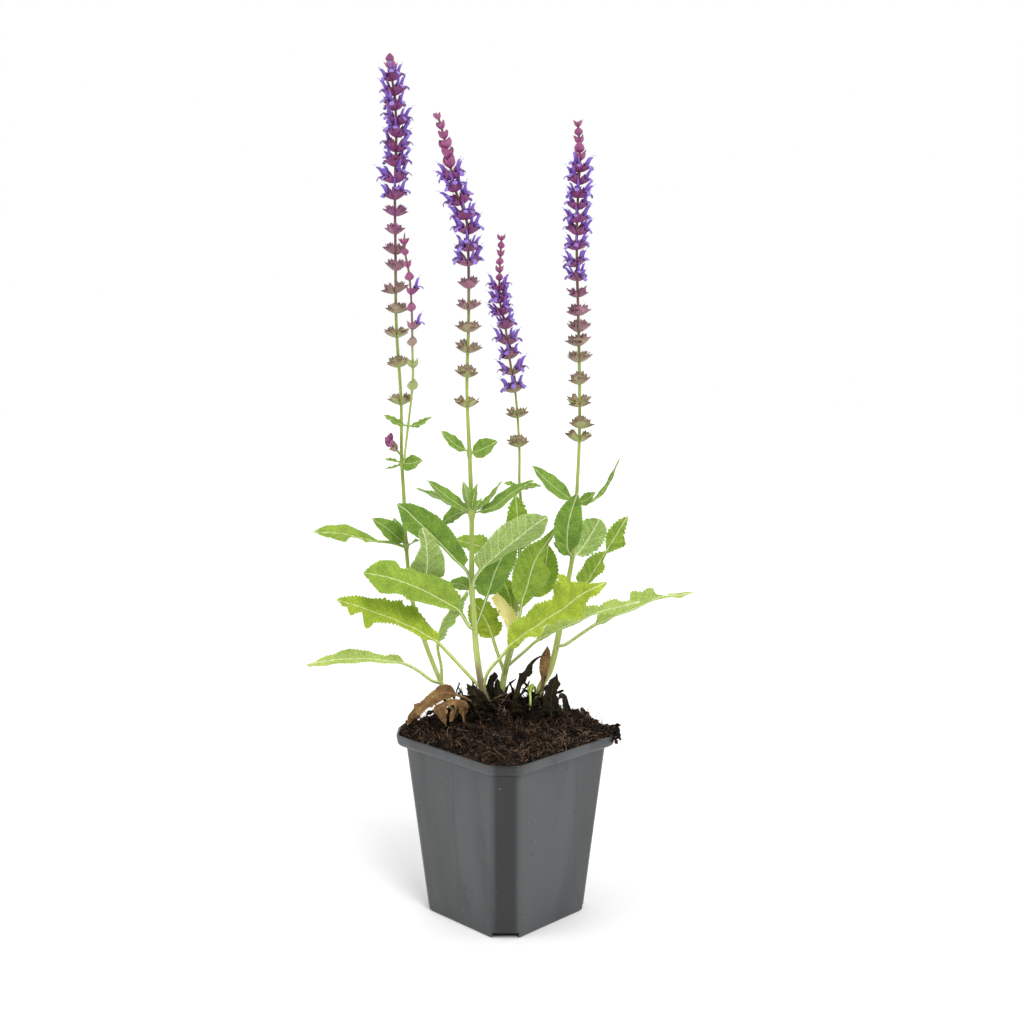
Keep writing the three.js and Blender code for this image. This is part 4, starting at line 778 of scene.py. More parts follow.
def crumbs(count, sizes, power=0.5, edge=0.97):
    """Copies of the ball, each stretched and dented by its own noise and sunk by most of its radius."""
    places = on_mound(count, edge, power)
    radii = rng.uniform(0, 1, count) ** 2.2 * (sizes[1] - sizes[0]) + sizes[0]
    places[:, 2] += 0.25 * radii
    shape = copies(crumb_template(), random_turns(count), places, radii, {})
    per = shape["points"].reshape(count, -1, 3)
    centre = places[:, None]
    dent = 1 + 0.45 * noise(per, 1.1, 5)[..., None]
    squash = rng.uniform(0.6, 1.25, (count, 1, 3))
    return {**shape, "points": (centre + (per - centre) * dent * squash).reshape(-1, 3)}


def spilled(count, middle, spread):
    """Crumbs heaped over a corner of the rim: random places around a middle point."""
    shape = crumbs(count, (0.4, 1.6))
    per = shape["points"].reshape(count, -1, 3)
    centre = per.mean(axis=1, keepdims=True)
    away = np.clip(rng.normal(size=(count, 1, 3)), -1.3, 1.3) * spread
    return {**shape, "points": (per - centre + middle + away).reshape(-1, 3)}


crumb_forms = [crumbs(2600, (0.35, 1.3)), crumbs(520, (1.0, 3.1), 0.8, 0.93)]
crumb_forms += [spilled(*spill) for spill in SPILLS]
piece("peat_crumbs", join(crumb_forms), [peat_finish("crumbs", "#0f0b09", "#4a382b", "#9a806a")])

# %% Fibres
CURL_STEPS = 7
STEM_FEET = np.array([[-25, 1], [-8, -4], [-5, 4], [14, 2]])
DRY_SLOPE_X = 8  # the peat to the right of here has dried the most, and is the most fibrous


def near_stems(count, spread, feet=STEM_FEET):
    """Random places on the mound around the feet of the stems."""
    flat = feet[rng.integers(0, len(feet), count)] + rng.normal(scale=spread, size=(count, 2))
    return np.column_stack([flat, crumbled(flat[:, 0], flat[:, 1])])


def curls(place, lengths, lift, bend=0.34, droop=0.06):
    """Lines that start in the mound and turn a little at every step: the direction is the last one plus a
    lasting push, a passing one, and droop downwards, and so each line curls in its own way."""
    count = len(place)
    heading = rng.uniform(0, 2 * math.pi, count)
    ahead = unit(np.stack([np.cos(heading), np.sin(heading), rng.uniform(*lift, count)], axis=-1))
    stride = rng.uniform(*lengths, count)[:, None] / CURL_STEPS
    push = rng.normal(scale=bend, size=(count, 3))
    line = [place - 0.6 * ahead]
    for _ in range(CURL_STEPS):
        line.append(line[-1] + ahead * stride)
        ahead = unit(ahead + push + rng.normal(scale=0.22, size=(count, 3)) - [0, 0, droop])
    return np.stack(line, axis=1)


def strands(line, wide, thin, corners, ragged=0.0):
    """Lines as thin tubes. The ring is an ellipse: wide across and thin through, both tapering to a third;
    ragged makes the width jump from step to step."""
    count, rings = line.shape[:2]
    along = unit(np.gradient(line, axis=1))
    across = unit(np.cross(along, rng.normal(size=(count, 1, 3))))
    back = np.cross(along, across)
    taper = np.linspace(1, 0.35, rings)[None, :, None]
    share = rng.uniform(0, 1, (count, 1, 1))
    jumps = 1 + ragged * rng.uniform(-1, 1, (count, rings, 1))
    far = (wide[0] + (wide[1] - wide[0]) * share) * taper * jumps
    deep = (thin[0] + (thin[1] - thin[0]) * share) * taper
    turns = np.linspace(0, 2 * math.pi, corners, endpoint=False)
    around = [line + far * math.cos(a) * across + deep * math.sin(a) * back for a in turns]
    width = rings * corners
    k = np.arange(1, corners - 1)
    foot = np.stack([0 * k, k + 1, k], axis=-1)
    tip = np.stack([0 * k, k, k + 1], axis=-1) + width - corners
    shift = (np.arange(count) * width)[:, None, None]
    quads = grid_quads(rings, corners, around=True)[None] + shift
    tris = np.concatenate([foot, tip])[None] + shift
    return form(np.stack(around, axis=2), quads.reshape(-1, 4), tris.reshape(-1, 3))


def fibre_finish(name, light, dark):
    """Two browns in soft patches, a little shiny."""
    fibre = Finish(name, Roughness=0.8, Specular_IOR_Level=0.25)
    shade = fibre.noise(fibre.spot(), 260, 2)
    return fibre.wear(Base_Color=fibre.mix(fibre.step(shade, 0.35, 0.65), tone(dark), tone(light)))


slope = on_mound(1300)
slope = slope[slope[:, 0] > DRY_SLOPE_X][:400]
places = np.concatenate([on_mound(900), slope])
pale = strands(curls(places, (3, 9), (0.1, 0.9), 0.42), (0.05, 0.13), (0.05, 0.13), 3)
roots = strands(curls(near_stems(170, 4), (7, 17), (0.5, 2.0), 0.3, 0.24), (0.08, 0.2), (0.08, 0.2), 3)
piece("peat_fibres_pale", join([pale, roots]), [fibre_finish("pale fibre", "#cfae8e", "#80604a")])
dark = strands(curls(on_mound(1500), (3, 11), (0.0, 0.9)), (0.07, 0.2), (0.07, 0.2), 3)
piece("peat_fibres_dark", dark, [fibre_finish("dark fibre", "#5d3f28", "#241710")])

# %% [markdown]
# Crumpled scraps of last year's leaves lie all over the peat and stand up between the feet of the stems. Each
# is a flat strand whose width jumps from step to step.

# %% Scraps
SHEATH_FEET = np.array([[-9, -6], [-4, 1], [15, 1]])
LEAFLET_FOOT = np.array([[12.5, -13.2]])

tuft_lines = curls(near_stems(44, 1.6, LEAFLET_FOOT), (8, 16), (2.0, 6.0), 0.22, 0.04)
standing_lines = curls(near_stems(260, 6), (8, 20), (0.6, 3.2), 0.3, 0.08)
standing = strands(standing_lines, (0.7, 2.2), (0.12, 0.22), 4, 0.75)
sheath_lines = curls(near_stems(60, 3, SHEATH_FEET), (6, 14), (0.3, 2.4), 0.35, 0.2)
sheaths = strands(sheath_lines, (0.5, 1.7), (0.12, 0.2), 4, 0.6)
lying_lines = curls(on_mound(360, 0.93), (3, 9), (0.0, 0.7), 0.4, 0.1)
lying = strands(lying_lines, (0.4, 1.5), (0.1, 0.2), 4, 0.75)
tuft = strands(tuft_lines, (0.5, 1.4), (0.12, 0.2), 4, 0.7)
scraps = join([standing, lying, tuft])
piece("peat_scraps", scraps, [peat_finish("scraps", "#1b1711", "#3c3424", "#6a5f3e")])
piece("peat_sheaths", sheaths, [peat_finish("sheaths", "#4a3728", "#7d6046", "#a98a66")])

# %% [markdown]
# ## Stems
# Sage stems are square with rounded corners and a shallow channel down each side. Each runs up from the peat
# to the tip of its flower spike as one tube, thicker where leaves join. The ring is a rounded square: the
# cosine and sine of the angle are raised to a power below one, which pushes the points out to the corners.

# %% Stem tables
# girth holds heights and half widths, the spike starts at spike_z, and the foot is brown up to root, as a
# share of the way to spike_z.
STEMS = {
    "left": {
        "path": [[-25, 1, 99], [-28, 1, 108], [-33, 2, 119], [-42, 4, 142], [-48, 6, 162], [-51, 8, 189],
            [-52, 9, 215], [-53, 9, 236], [-53, 10, 265], [-55, 11, 303], [-55, 11, 340], [-55, 12, 370],
            [-54, 12, 405], [-57, 12, 434]],
        "girth": [[99, 1.3], [189, 1], [265, 0.8], [434, 0.6]], "spike_z": 259, "root": 0.04,
    },
    "side": {
        "path": [[-52, 9, 232], [-51, 6, 239], [-49, 2, 253], [-47, 0, 268], [-46, -2, 278], [-46, -4, 290],
            [-46, -6, 311], [-47, -7, 328], [-49, -8, 340], [-49, -8, 348]],
        "girth": [[232, 0.6], [348, 0.5]], "spike_z": 268, "root": -1,
    },
    "centre": {
        "path": [[-8, -4, 99], [-9, -4, 110], [-12, -5, 119], [-15, -6, 140], [-16, -6, 156], [-17, -6, 169],
            [-17, -7, 198], [-17, -7, 212], [-18, -8, 243], [-19, -9, 272], [-18, -10, 307], [-18, -11, 339],
            [-19, -12, 355], [-24, -12, 368], [-27, -13, 383], [-31, -13, 399], [-33, -13, 404]],
        "girth": [[99, 1.8], [156, 1.5], [212, 1.2], [272, 0.8], [404, 0.6]], "spike_z": 259, "root": 0.19,
    },
    "short": {
        "path": [[-5, 4, 99], [-3, 5, 109], [-1, 6, 122], [2, 8, 136], [5, 10, 155], [7, 12, 182],
            [8, 14, 206], [7, 14, 224], [7, 15, 239], [5, 16, 268], [2, 16, 286], [0, 17, 301], [-3, 17, 316],
            [-3, 17, 330], [-2, 18, 348]],
        "girth": [[99, 1.9], [136, 1.6], [182, 0.9], [239, 0.65], [348, 0.55]], "spike_z": 237, "root": 0.06,
    },
    "right": {
        "path": [[14, 2, 99], [16, 2, 109], [18, 2, 118], [23, 3, 127], [27, 4, 144], [30, 4, 163],
            [34, 3, 186], [36, 2, 219], [37, 1, 246], [37, 0, 267], [36, -2, 306], [35, -3, 335],
            [35, -4, 358], [36, -4, 383], [35, -4, 401]],
        "girth": [[99, 1.9], [144, 1.6], [186, 1.1], [246, 0.8], [401, 0.6]], "spike_z": 241, "root": 0.11,
    },
    "axil": {
        "path": [[-52.6, 9, 236.6], [-55, 7, 240], [-57.5, 5, 243], [-59, 3.5, 247]],
        "girth": [[236, 0.55], [247, 0.45]], "spike_z": 236.7, "root": -1,
    },
}
PLAIN_SPIKE = {
    "turn": 0, "spent": [], "flowers": [], "buds": [],  # azimuth of the first ring, and heights of the rings
    "spent_size": 1, "flowers_size": 1, "buds_size": 1, "buds_taper": 0, "buds_turn": 0,
    "open": [],  # single flowers: height and azimuth
}
SPIKES = {
    "left": dict(PLAIN_SPIKE, flowers_size=1.12, buds_size=1.3, buds_taper=0.3,
        spent=[263, 282, 297, 309, 319, 330, 338, 348, 357],
        flowers=[365, 373, 381, 388, 395, 401, 408, 415, 422],
        buds=[427, 431]),
    "side": dict(PLAIN_SPIKE, turn=90,
        buds=[271, 282, 293, 301, 310, 318, 325, 331, 337, 342],
        open=[[301, -20], [318, -20]]),
    "centre": dict(PLAIN_SPIKE, flowers_size=1.08, buds_size=1.55, buds_taper=0.4, buds_turn=45,
        spent=[263, 278, 290, 300, 311, 321],
        flowers=[332, 339, 347, 354, 361, 367, 373],
        buds=[378, 382.5, 387, 391.5, 396, 400.5]),
    "short": dict(PLAIN_SPIKE, turn=90,
        spent=[241, 256],
        flowers=[269, 278, 286, 293, 301, 308, 314, 320],
        buds=[325, 329, 333, 337, 341, 345]),
    "right": dict(PLAIN_SPIKE, buds_size=1.45, buds_taper=0.35,
        spent=[245, 252, 263, 274, 285, 293, 300, 308, 317],
        flowers=[325, 332, 340, 347, 353, 359, 365, 371, 377],
        buds=[382, 386, 390, 394, 398]),
    "axil": dict(PLAIN_SPIKE, turn=45,
        buds=[240, 242.5, 245]),
}
ring_count = sum(len(spike[zone]) for spike in SPIKES.values() for zone in ("spent", "flowers", "buds"))
print("rings in all:", ring_count)

# %% Stem finish
def stem_finish():
    """Green with fine lengthwise streaks. The mark holds the share of the way up to the spike, the share at
    which the brown of the foot ends, and the share of the way up the spike, where the green turns purple."""
    stem = Finish("stem", Roughness=0.5, Specular_IOR_Level=0.4)
    share, brown, spike = stem.split(stem.mark("stem"))
    spot = stem.spot()
    streaks = stem.noise(stem.stretch(spot, (1, 1, 0.06)), 1500, 2)
    specks = stem.noise(spot, 1800, 3)
    ragged = stem.maths("MULTIPLY_ADD", stem.noise(stem.stretch(spot, (1, 1, 0.3)), 500, 3), 0.16, -0.08)
    colour = stem.mix(stem.step(share, 0.05, 0.6), tone("#c6d27e"), tone("#a3b65a"))
    colour = stem.mix(stem.step(streaks, 0.4, 0.65, 0, 0.4), colour, tone("#7f8f45"))
    foot = stem.step(stem.maths("SUBTRACT", stem.maths("ADD", share, ragged), brown), 0.06, -0.05)
    colour = stem.glaze(foot, 0.85, colour, tone("#7d6653"))
    purple = stem.step(stem.maths("ADD", spike, ragged), 0.2, 0.5)
    colour = stem.glaze(purple, 0.9, colour, tone("#7a4f58"))
    colour = stem.mix(stem.step(specks, 0.62, 0.72, 0, 0.3), colour, tone("#5d6a3c"))
    return stem.wear(Base_Color=colour, Normal=stem.bump(streaks, 0.0002, 0.6))


stem_green = stem_finish()
print("the stems' finish has", len(stem_green.node_tree.nodes), "nodes")

# %% Stem tubes
STEM_AROUND = 20
STEM_STEP = 1.2
NODE_SWELL = 0.22


def square_ring(count, power=0.6, channel=0.06):
    """A rounded square of half width 1: (cos, sin) of the angle, each raised to a power that keeps its sign,
    and drawn in a little at the middle of the sides."""
    angles = np.linspace(0, 2 * math.pi, count, endpoint=False)
    ring = np.stack([np.cos(angles), np.sin(angles)], axis=-1)
    ring = np.sign(ring) * np.abs(ring) ** power
    return ring * (1 - channel * np.cos(4 * angles)[:, None].clip(0))


def tube(place, ahead, radius, ring, marks):
    """A ring of points carried along a line: across is X made square to the line, and back completes it."""
    across = unit(np.array([1.0, 0, 0]) - ahead * ahead[:, :1])
    back = np.cross(ahead, across)
    spread = across[:, None] * ring[:, :1] + back[:, None] * ring[:, 1:]
    points = place[:, None] + radius[:, None, None] * spread
    rows, cols = points.shape[:2]
    points = np.concatenate([points.reshape(-1, 3), place[[0, -1]]])
    carried = {key: np.concatenate([np.repeat(v, cols, axis=0), v[[0, -1]]]) for key, v in marks.items()}
    return form(points, grid_quads(rows, cols, around=True), capped(rows, cols), carried)


def stem_tube(name, joints=()):
    """The stem from the peat to the tip. The half width follows the girth table, swells by NODE_SWELL where
    leaves join, wanders a little, and tapers off over the last two and a half millimetres."""
    stem = STEMS[name]
    low, high = stem["path"][0][2], stem["path"][-1][2]
    heights = np.linspace(low, high, int((high - low) / STEM_STEP))
    place, ahead = at_height(stem["path"], heights)
    radius = np.interp(heights, *np.array(stem["girth"]).T)
    for joint in joints:
        radius *= 1 + NODE_SWELL * np.exp(-((heights - joint) / 1.8) ** 2)
    radius *= 1 + 0.05 * noise(place[:, [2, 0, 1]], 9)
    radius *= 0.35 + 0.65 * ramp(high - heights, 0, 2.5)
    share = (heights - low) / (stem["spike_z"] - low)
    spike = (heights - stem["spike_z"]) / (high - stem["spike_z"])
    marks = {"stem": np.column_stack([share, np.full_like(share, stem["root"]), spike])}
    return tube(place, ahead, radius, square_ring(STEM_AROUND), marks)


print("a stem's ring has", STEM_AROUND, "points")

# %% [markdown]
# ## Leaves
# Sage leaves are oblong, with a pale midrib, side veins that bow towards the tip, a quilted blade and a
# margin of small round teeth. Each is one grid: s runs along the midrib and v across from edge to edge. The
# veins are known in millimetres on the blade, and the same numbers drive the relief here and the colours in
# the finish.
#
# A leaf's path runs from its foot to its tip, and its face is the direction in which the upper side looks, at
# the foot and at the tip where the leaf twists. A leaf of even form has a half width that is a sine of the
# way along, warped so that the belly sits where this leaf has it, less the bites: side, place, reach and
# depth. A leaf of uneven form has left and right margins instead, as percent of the blade's length and mm off
# the midrib.

# %% Leaf tables
PLAIN_LEAF = {
    "tint": "leaf_mid", "stalk": 0.3,  # the material, and the share of the path that is stalk
    "width": 15, "belly": 0.4, "blunt": 0.8, "round_tip": False, "teeth": 1, "bites": [],
    "wave": 0.5, "fold": 0.15, "crinkle": 0.15,
}
DRY_LEAF = dict(PLAIN_LEAF, tint="leaf_dry", teeth=0.4, crinkle=1.5)
SMALL_LEAF = dict(PLAIN_LEAF, stalk=0.12, wave=0.3, fold=0.2, teeth=0.25)
LEAVES = {
    "leaf_left_long": dict(PLAIN_LEAF, width=16, wave=0.3, fold=0.1, belly=0.5, teeth=0.5,
        path=[[-51, 8, 190], [-58, 5, 193], [-69, 1, 195], [-82, -3, 199], [-97, -6, 200.5]],
        face=[0, -0.35, 0.93],
        bites=[["left", 0.1, 0.25, 0.6], ["left", 0.38, 0.17, 0.95], ["left", 0.62, 0.14, -0.3]]),
    "leaf_left_low": dict(
        PLAIN_LEAF, tint="leaf_fresh", stalk=0.32, wave=0.4, fold=0.1, teeth=0.7, round_tip=True,
        path=[[-33.5, 2, 120], [-37.9, -2, 122.4], [-44.9, -4, 128.2], [-51.6, -5.5, 132.2],
            [-61.4, -7, 134.3], [-71.4, -9, 135.8], [-81.3, -11, 136.1], [-91.2, -12.5, 135.4],
            [-100.6, -14, 133.8]],
        face=[[0, -0.6, 0.8], [0, -0.55, 0.85]],
        left=[[5, 1.4], [63, 3.4], [81, 3], [92, 2.2]],
        right=[[2, 1.5], [3, 2.4], [7, 4.2], [14, 4.2], [21, 2.5], [30, 3.1], [36, 4.7], [49, 5.1], [55, 5.9],
            [64, 5.6], [71, 3.7], [91, 0.9]]),
    "leaf_left_narrow": dict(PLAIN_LEAF, stalk=0.42, wave=0.6, fold=0.3,
        path=[[-33, 2, 118.5], [-33.5, 7, 127], [-35.5, 11, 138], [-32, 17, 150], [-20, 22, 164]],
        face=[0.85, 0.4, 0]),
    "leaf_left_behind": dict(PLAIN_LEAF, tint="leaf_pale", stalk=0.35, teeth=0.6,
        path=[[-48, 6, 162], [-45.4, 2, 168.7], [-41.5, -2, 174.2], [-40, -5, 179.5], [-39.2, -9.5, 186.5],
            [-39.2, -12.5, 192.1], [-39.7, -15, 198.6], [-41.3, -16.5, 204.4]],
        face=[[0, 1, 0.1], [0, 1, 0.2]],
        left=[[6, 7.3], [9, 9.1], [18, 9.2], [51, 7.6], [60, 6.7], [93, 1.8]],
        right=[[1, 7.6], [12, 9.1], [27, 7.8], [65, 3.2], [90, 3], [98, 1.6]]),
    "leaf_centre_basal": dict(
        PLAIN_LEAF, tint="leaf_fresh", stalk=0.39, wave=0.6, fold=0.12, crinkle=0.7, round_tip=True,
        path=[[-11.7, -5, 118], [-25.7, -9, 134.8], [-35.1, -12, 145.7], [-39.7, -13, 148.8],
            [-44.2, -14, 151.9], [-49.7, -15, 154.5], [-55.3, -16.5, 157.6], [-64.6, -18, 161.7],
            [-71.3, -20, 164.7], [-78, -22, 167.3], [-83.3, -24, 169.2]],
        face=[[-0.2, -0.6, 0.75], [-0.1, -0.55, 0.8]],
        left=[[10, 2.7], [18, 2.7], [25, 3.5], [32, 3.1], [38, 3.9], [48, 3.4], [60, 6], [64, 8], [68, 13],
            [72, 14.5], [74, 12], [76, 3], [80, 4.4], [86, 8], [89, 6.7], [90, 3.6], [96, 4.5], [99, 2.7]],
        right=[[1, 2.5], [3, 4.3], [6, 5.3], [18, 6.5], [25, 9.7], [27, 12.1], [31, 12.6], [39, 10.3],
            [43, 12.4], [52, 8.4], [55, 8.2], [59, 9.3], [69, 8], [85, 5.2], [98, 2.1]]),
    "leaf_centre_low_left": dict(
        PLAIN_LEAF, stalk=0.24, wave=0.7, fold=0.12, teeth=0.7, crinkle=0.4, round_tip=True,
        path=[[-15.6, -6, 150], [-18.1, -8, 151.9], [-23.7, -11, 161.2], [-29.9, -13, 165.7],
            [-37.3, -15, 170.5], [-45.1, -16, 174.5], [-53.4, -18, 178.2], [-62.2, -19.5, 180.8],
            [-70.2, -21, 182.6]],
        face=[[-0.3, -0.7, 0.65], [-0.1, -0.65, 0.75]],
        left=[[1, 0.9], [7, 2.8], [21, 4.3], [33, 6.7], [46, 8.4], [54, 8.5], [59, 7.5], [72, 10.6],
            [81, 10.9], [97, 5.1]],
        right=[[1, 3], [2, 6], [7, 8.5], [18, 9.9], [36, 9.8], [51, 6.8], [56, 7.7], [62, 7.2], [66, 7.5],
            [68, 9.3], [72, 10.3], [86, 7.6], [94, 4.7], [98, 2.2]]),
    "leaf_centre_mid_left": dict(PLAIN_LEAF, tint="leaf_dark", stalk=0.21, teeth=0.35,
        path=[[-17, -6.1, 172], [-19.4, -8, 180.6], [-23.8, -8.5, 185.5], [-32.7, -8, 194.9],
            [-39.9, -7, 202], [-46.2, -5, 207.6], [-49.9, -3.5, 211], [-54.7, -2, 214]],
        face=[[-0.45, -0.7, 0.55], [-0.35, -0.75, 0.55]],
        left=[[1, 0], [13, 1.2], [32, 0.9], [55, 5.5], [70, 7.1], [76, 7], [89, 4.1], [96, 1.6]],
        right=[[1, 4.3], [13, 6.2], [33, 8.1], [42, 8.7], [57, 8.7], [75, 7], [83, 5.4], [99, 0.9]]),
    "leaf_centre_mid_right": dict(PLAIN_LEAF, tint="leaf_pale", stalk=0.19, fold=0.35, teeth=0.6,
        path=[[-17, -6.1, 172], [-15.3, -9, 177.4], [-13, -12, 181.7], [-9.6, -14, 185.8], [-4.5, -17, 190.8],
            [1.7, -19, 196.3], [7.5, -21, 201.1], [11.8, -22.5, 205], [16.1, -24, 208.3], [20.8, -25, 211.6]],
        face=[-0.33, 0.86, 0.31],
        left=[[1, 1.9], [7, 2.1], [18, 3.7], [46, 6.7], [70, 12.2], [79, 9.9], [95, 3.9]],
        right=[[3, 0.5], [9, 6.5], [24, 6.7], [39, 8.7], [62, 9], [70, 8.7], [77, 7.4], [90, 4.5], [95, 1.9],
            [99, 0.9]]),
    "leaf_centre_low_right": dict(PLAIN_LEAF, tint="leaf_dark", stalk=0.36, wave=0.6,
        path=[[-15.6, -6, 150], [-13, -6.5, 157.1], [-9.6, -7, 167.1], [-7.9, -6.5, 172], [-6.1, -6, 177.9],
            [-3.9, -5, 183.1], [-1.7, -4, 187.3], [2.7, -3, 195]],
        face=[[-0.1, -0.97, 0.25], [0, -0.97, 0.25]],
        left=[[2, 0.9], [3, 3.8], [8, 6.2], [18, 7.8], [31, 7.7], [66, 6], [87, 4]],
        right=[[6, 1], [13, 3.4], [20, 5], [43, 7.1], [63, 7.3], [80, 6.5], [95, 4.4]]),
    "leaf_short_behind_left": dict(PLAIN_LEAF, width=14, fold=0.12, belly=0.5, blunt=0.7,
        path=[[7, 12, 181], [-3, 17, 186], [-15, 20, 189], [-27, 22, 192]],
        face=[0, -0.45, 0.9]),
    "leaf_short_tall": dict(PLAIN_LEAF, stalk=0.2, width=13, fold=0.2,
        path=[[7, 12, 182], [7, 6, 194], [6, 4, 207], [5, 5, 218]],
        face=[0.05, -0.95, 0.3]),
    "leaf_short_basal": dict(
        PLAIN_LEAF, tint="leaf_fresh", stalk=0.48, fold=0.2, teeth=0.6, crinkle=0.3, round_tip=True,
        path=[[-1.2, 6, 121], [3.2, 0, 137.7], [6.3, -1, 151.1], [7.3, -1, 157.4], [8.4, -1, 163.9],
            [11, -0.5, 171.5], [12.9, 0, 179], [14.9, 1, 184.5], [17.9, 1, 189.7], [20.7, 0.5, 193.9],
            [23.2, 0, 197.6], [26.6, 0, 203.6]],
        face=[[0.1, -0.95, 0.3], [0.2, -0.95, 0.1]],
        left=[[2, 1.4], [10, 6], [16, 7.6], [35, 9.6], [53, 8.6], [63, 7.4], [76, 3.4], [94, 1.1]],
        right=[[1, 1.9], [9, 3.6], [13, 3.6], [31, 8.5], [37, 9.3], [45, 9.5], [49, 8.1], [52, 5.6],
            [56, 3.6], [62, 2.5], [77, 1.2], [97, 0.6]]),
    "leaf_short_behind_right": dict(PLAIN_LEAF, blunt=0.7, teeth=0.6,
        path=[[5.2, 10, 156], [15, 14, 165], [20, 16, 176], [22, 16, 190]],
        face=[[0.1, -0.9, 0.4], [0.2, -0.95, 0.2]]),
    "leaf_short_dark_back": dict(PLAIN_LEAF, tint="leaf_dark", width=13, wave=0.4,
        path=[[4.4, 9.6, 150], [3, 14, 158], [1, 17, 165], [-2, 19, 172]],
        face=[[-0.1, -0.8, 0.5], [-0.2, -0.8, 0.5]]),
    "leaf_small_crinkled": dict(
        PLAIN_LEAF, tint="leaf_fresh", stalk=0.46, width=16, wave=0.9, fold=0.1, belly=0.45, blunt=0.5,
        teeth=0.9, crinkle=0.8,
        path=[[-0.7, 6.2, 124], [-5, 10, 136], [-8.5, 9, 147.5], [-12.5, 7, 156], [-17, 6, 163]],
        face=[-0.2, -0.9, 0.4],
        bites=[["right", 0.35, 0.1, 0.25], ["right", 0.65, 0.08, 0.2]]),
    "leaf_front_big": dict(PLAIN_LEAF, tint="leaf_fresh", stalk=0.32, wave=0.9, teeth=1.2, crinkle=1,
        path=[[-11.7, -5, 118], [-9, -9, 128.5], [-1.2, -14, 139.2], [2.6, -16, 144.7], [8, -18.5, 149.8],
            [13.4, -21, 154.3], [18.7, -24, 158.8], [24, -26, 162.6], [29.2, -29, 166.8], [34.3, -32, 172.1],
            [39.1, -34, 175.5], [49, -37, 181.2]],
        face=[[-0.25, -0.75, 0.6], [-0.25, -0.8, 0.5]],
        left=[[1, 0.9], [7, 5.3], [12, 8.5], [18, 9.1], [26, 7.9], [40, 9.2], [50, 7.5], [53, 8.6],
            [56, 10.7], [57, 12.7], [65, 11.5], [69, 12], [72, 14.1], [74, 8.3], [86, 3.2], [92, 1.7]],
        right=[[4, 2.9], [10, 3.2], [15, 2.8], [23, 3.7], [31, 5.8], [34, 4.8], [36, 2.2], [44, 4.2],
            [60, 6.6], [63, 8.6], [69, 10.4], [74, 9.8], [79, 7.7], [80, 5.6], [83, 4.7], [90, 4.4],
            [95, 1.8]]),
    "leaf_under_front": dict(
        PLAIN_LEAF, tint="leaf_pale", stalk=0.31, wave=0.4, fold=0.1, teeth=0.8, crinkle=0.4,
        path=[[0, 6.6, 127], [10.9, -2, 139], [14.9, -6, 143.7], [25.7, -11, 151.1], [36.5, -15, 156.8],
            [44.9, -18, 161.5], [53.4, -19.5, 164.3], [60.2, -20.5, 166.3], [66.6, -21, 168.1]],
        face=[0, -0.7, 0.7],
        left=[[4, 2.8], [24, 6.1], [38, 6.7], [52, 6.2], [58, 4.8], [66, 2.2], [75, 4.8], [80, 4.8],
            [85, 2.5], [94, 1.5]],
        right=[[5, 1.2], [89, 0.7]]),
    "leaf_far_right": dict(PLAIN_LEAF, tint="leaf_pale", stalk=0.34, fold=0.1, crinkle=0.6,
        path=[[25.8, 3.7, 139], [30.4, -1, 141.1], [37.9, -4, 147.1], [46.5, -7, 153.6], [49.9, -8, 155.1],
            [55.3, -9.5, 158.2], [61.2, -11, 160.8], [69.1, -13, 164.5], [74.4, -14.5, 167.6],
            [81.8, -16, 170.2], [87, -17, 170.4], [93.5, -18, 172]],
        face=[0, -0.75, 0.66],
        left=[[2, 2], [3, 4], [6, 4.7], [37, 3], [41, 8.8], [46, 8.8], [53, 6.7], [60, 6.5], [64, 5.7],
            [65, 1.8], [73, 0.1], [78, 1.3], [87, 1.4]],
        right=[[9, 0.6], [62, 0.6], [88, 1.9], [93, 0.7]]),
    "leaf_right_twisted": dict(PLAIN_LEAF, stalk=0.21, fold=0.12, teeth=0.9,
        path=[[30.6, 3.9, 163], [37.8, -1, 169.9], [40.8, -2, 173.2], [45.7, -4, 181.8], [50.2, -6, 189.7],
            [52.9, -7, 194.7], [56.8, -8.5, 201.6], [61, -10, 209.4]],
        face=[[-0.6, -0.75, 0.4], [-0.5, -1, 0.2]],
        left=[[2, 6], [29, 6.9], [44, 3.8], [52, 0.7], [67, 3.7], [76, 4.5], [85, 3.9], [96, 1.3]],
        right=[[9, 0.7], [15, 2.4], [32, 5], [38, 4], [41, 1.3], [51, 1.2], [72, 7], [76, 6], [78, 4.2],
            [95, 1.2]]),
    "leaf_right_front": dict(
        PLAIN_LEAF, tint="leaf_dark", stalk=0.14, width=14, wave=0.6, fold=0.2, belly=0.45, blunt=0.75,
        teeth=0.5,
        path=[[34, 3, 186], [31.5, -3, 191], [31, -5, 198], [32, -6, 207], [36, -5, 220]],
        face=[0, -0.97, 0.25]),
    "leaf_right_round": dict(
        PLAIN_LEAF, tint="leaf_pale", stalk=0.12, width=16, wave=0.4, fold=0.1, belly=0.55, blunt=0.5,
        path=[[34, 3, 186], [38, 6, 189], [43, 8, 196], [48, 7, 205]],
        face=[-0.1, 0.95, 0.1]),
    "leaf_yellow": dict(PLAIN_LEAF, tint="leaf_yellow", stalk=0.29, wave=0.4,
        path=[[2, 8, 136], [1.7, 5, 144.9], [1.4, 4.5, 147.7], [0.6, 4, 153.6], [-1.4, 3.5, 160],
            [-4.3, 4, 167.5]],
        face=[[0.1, -0.9, 0.4], [0.2, -0.8, 0.5]],
        left=[[9, 0.7], [79, 4], [94, 4.2], [98, 2.3]],
        right=[[8, 0.9], [30, 4], [40, 4.8], [87, 1.2]]),
}
print("large leaves:", len(LEAVES))

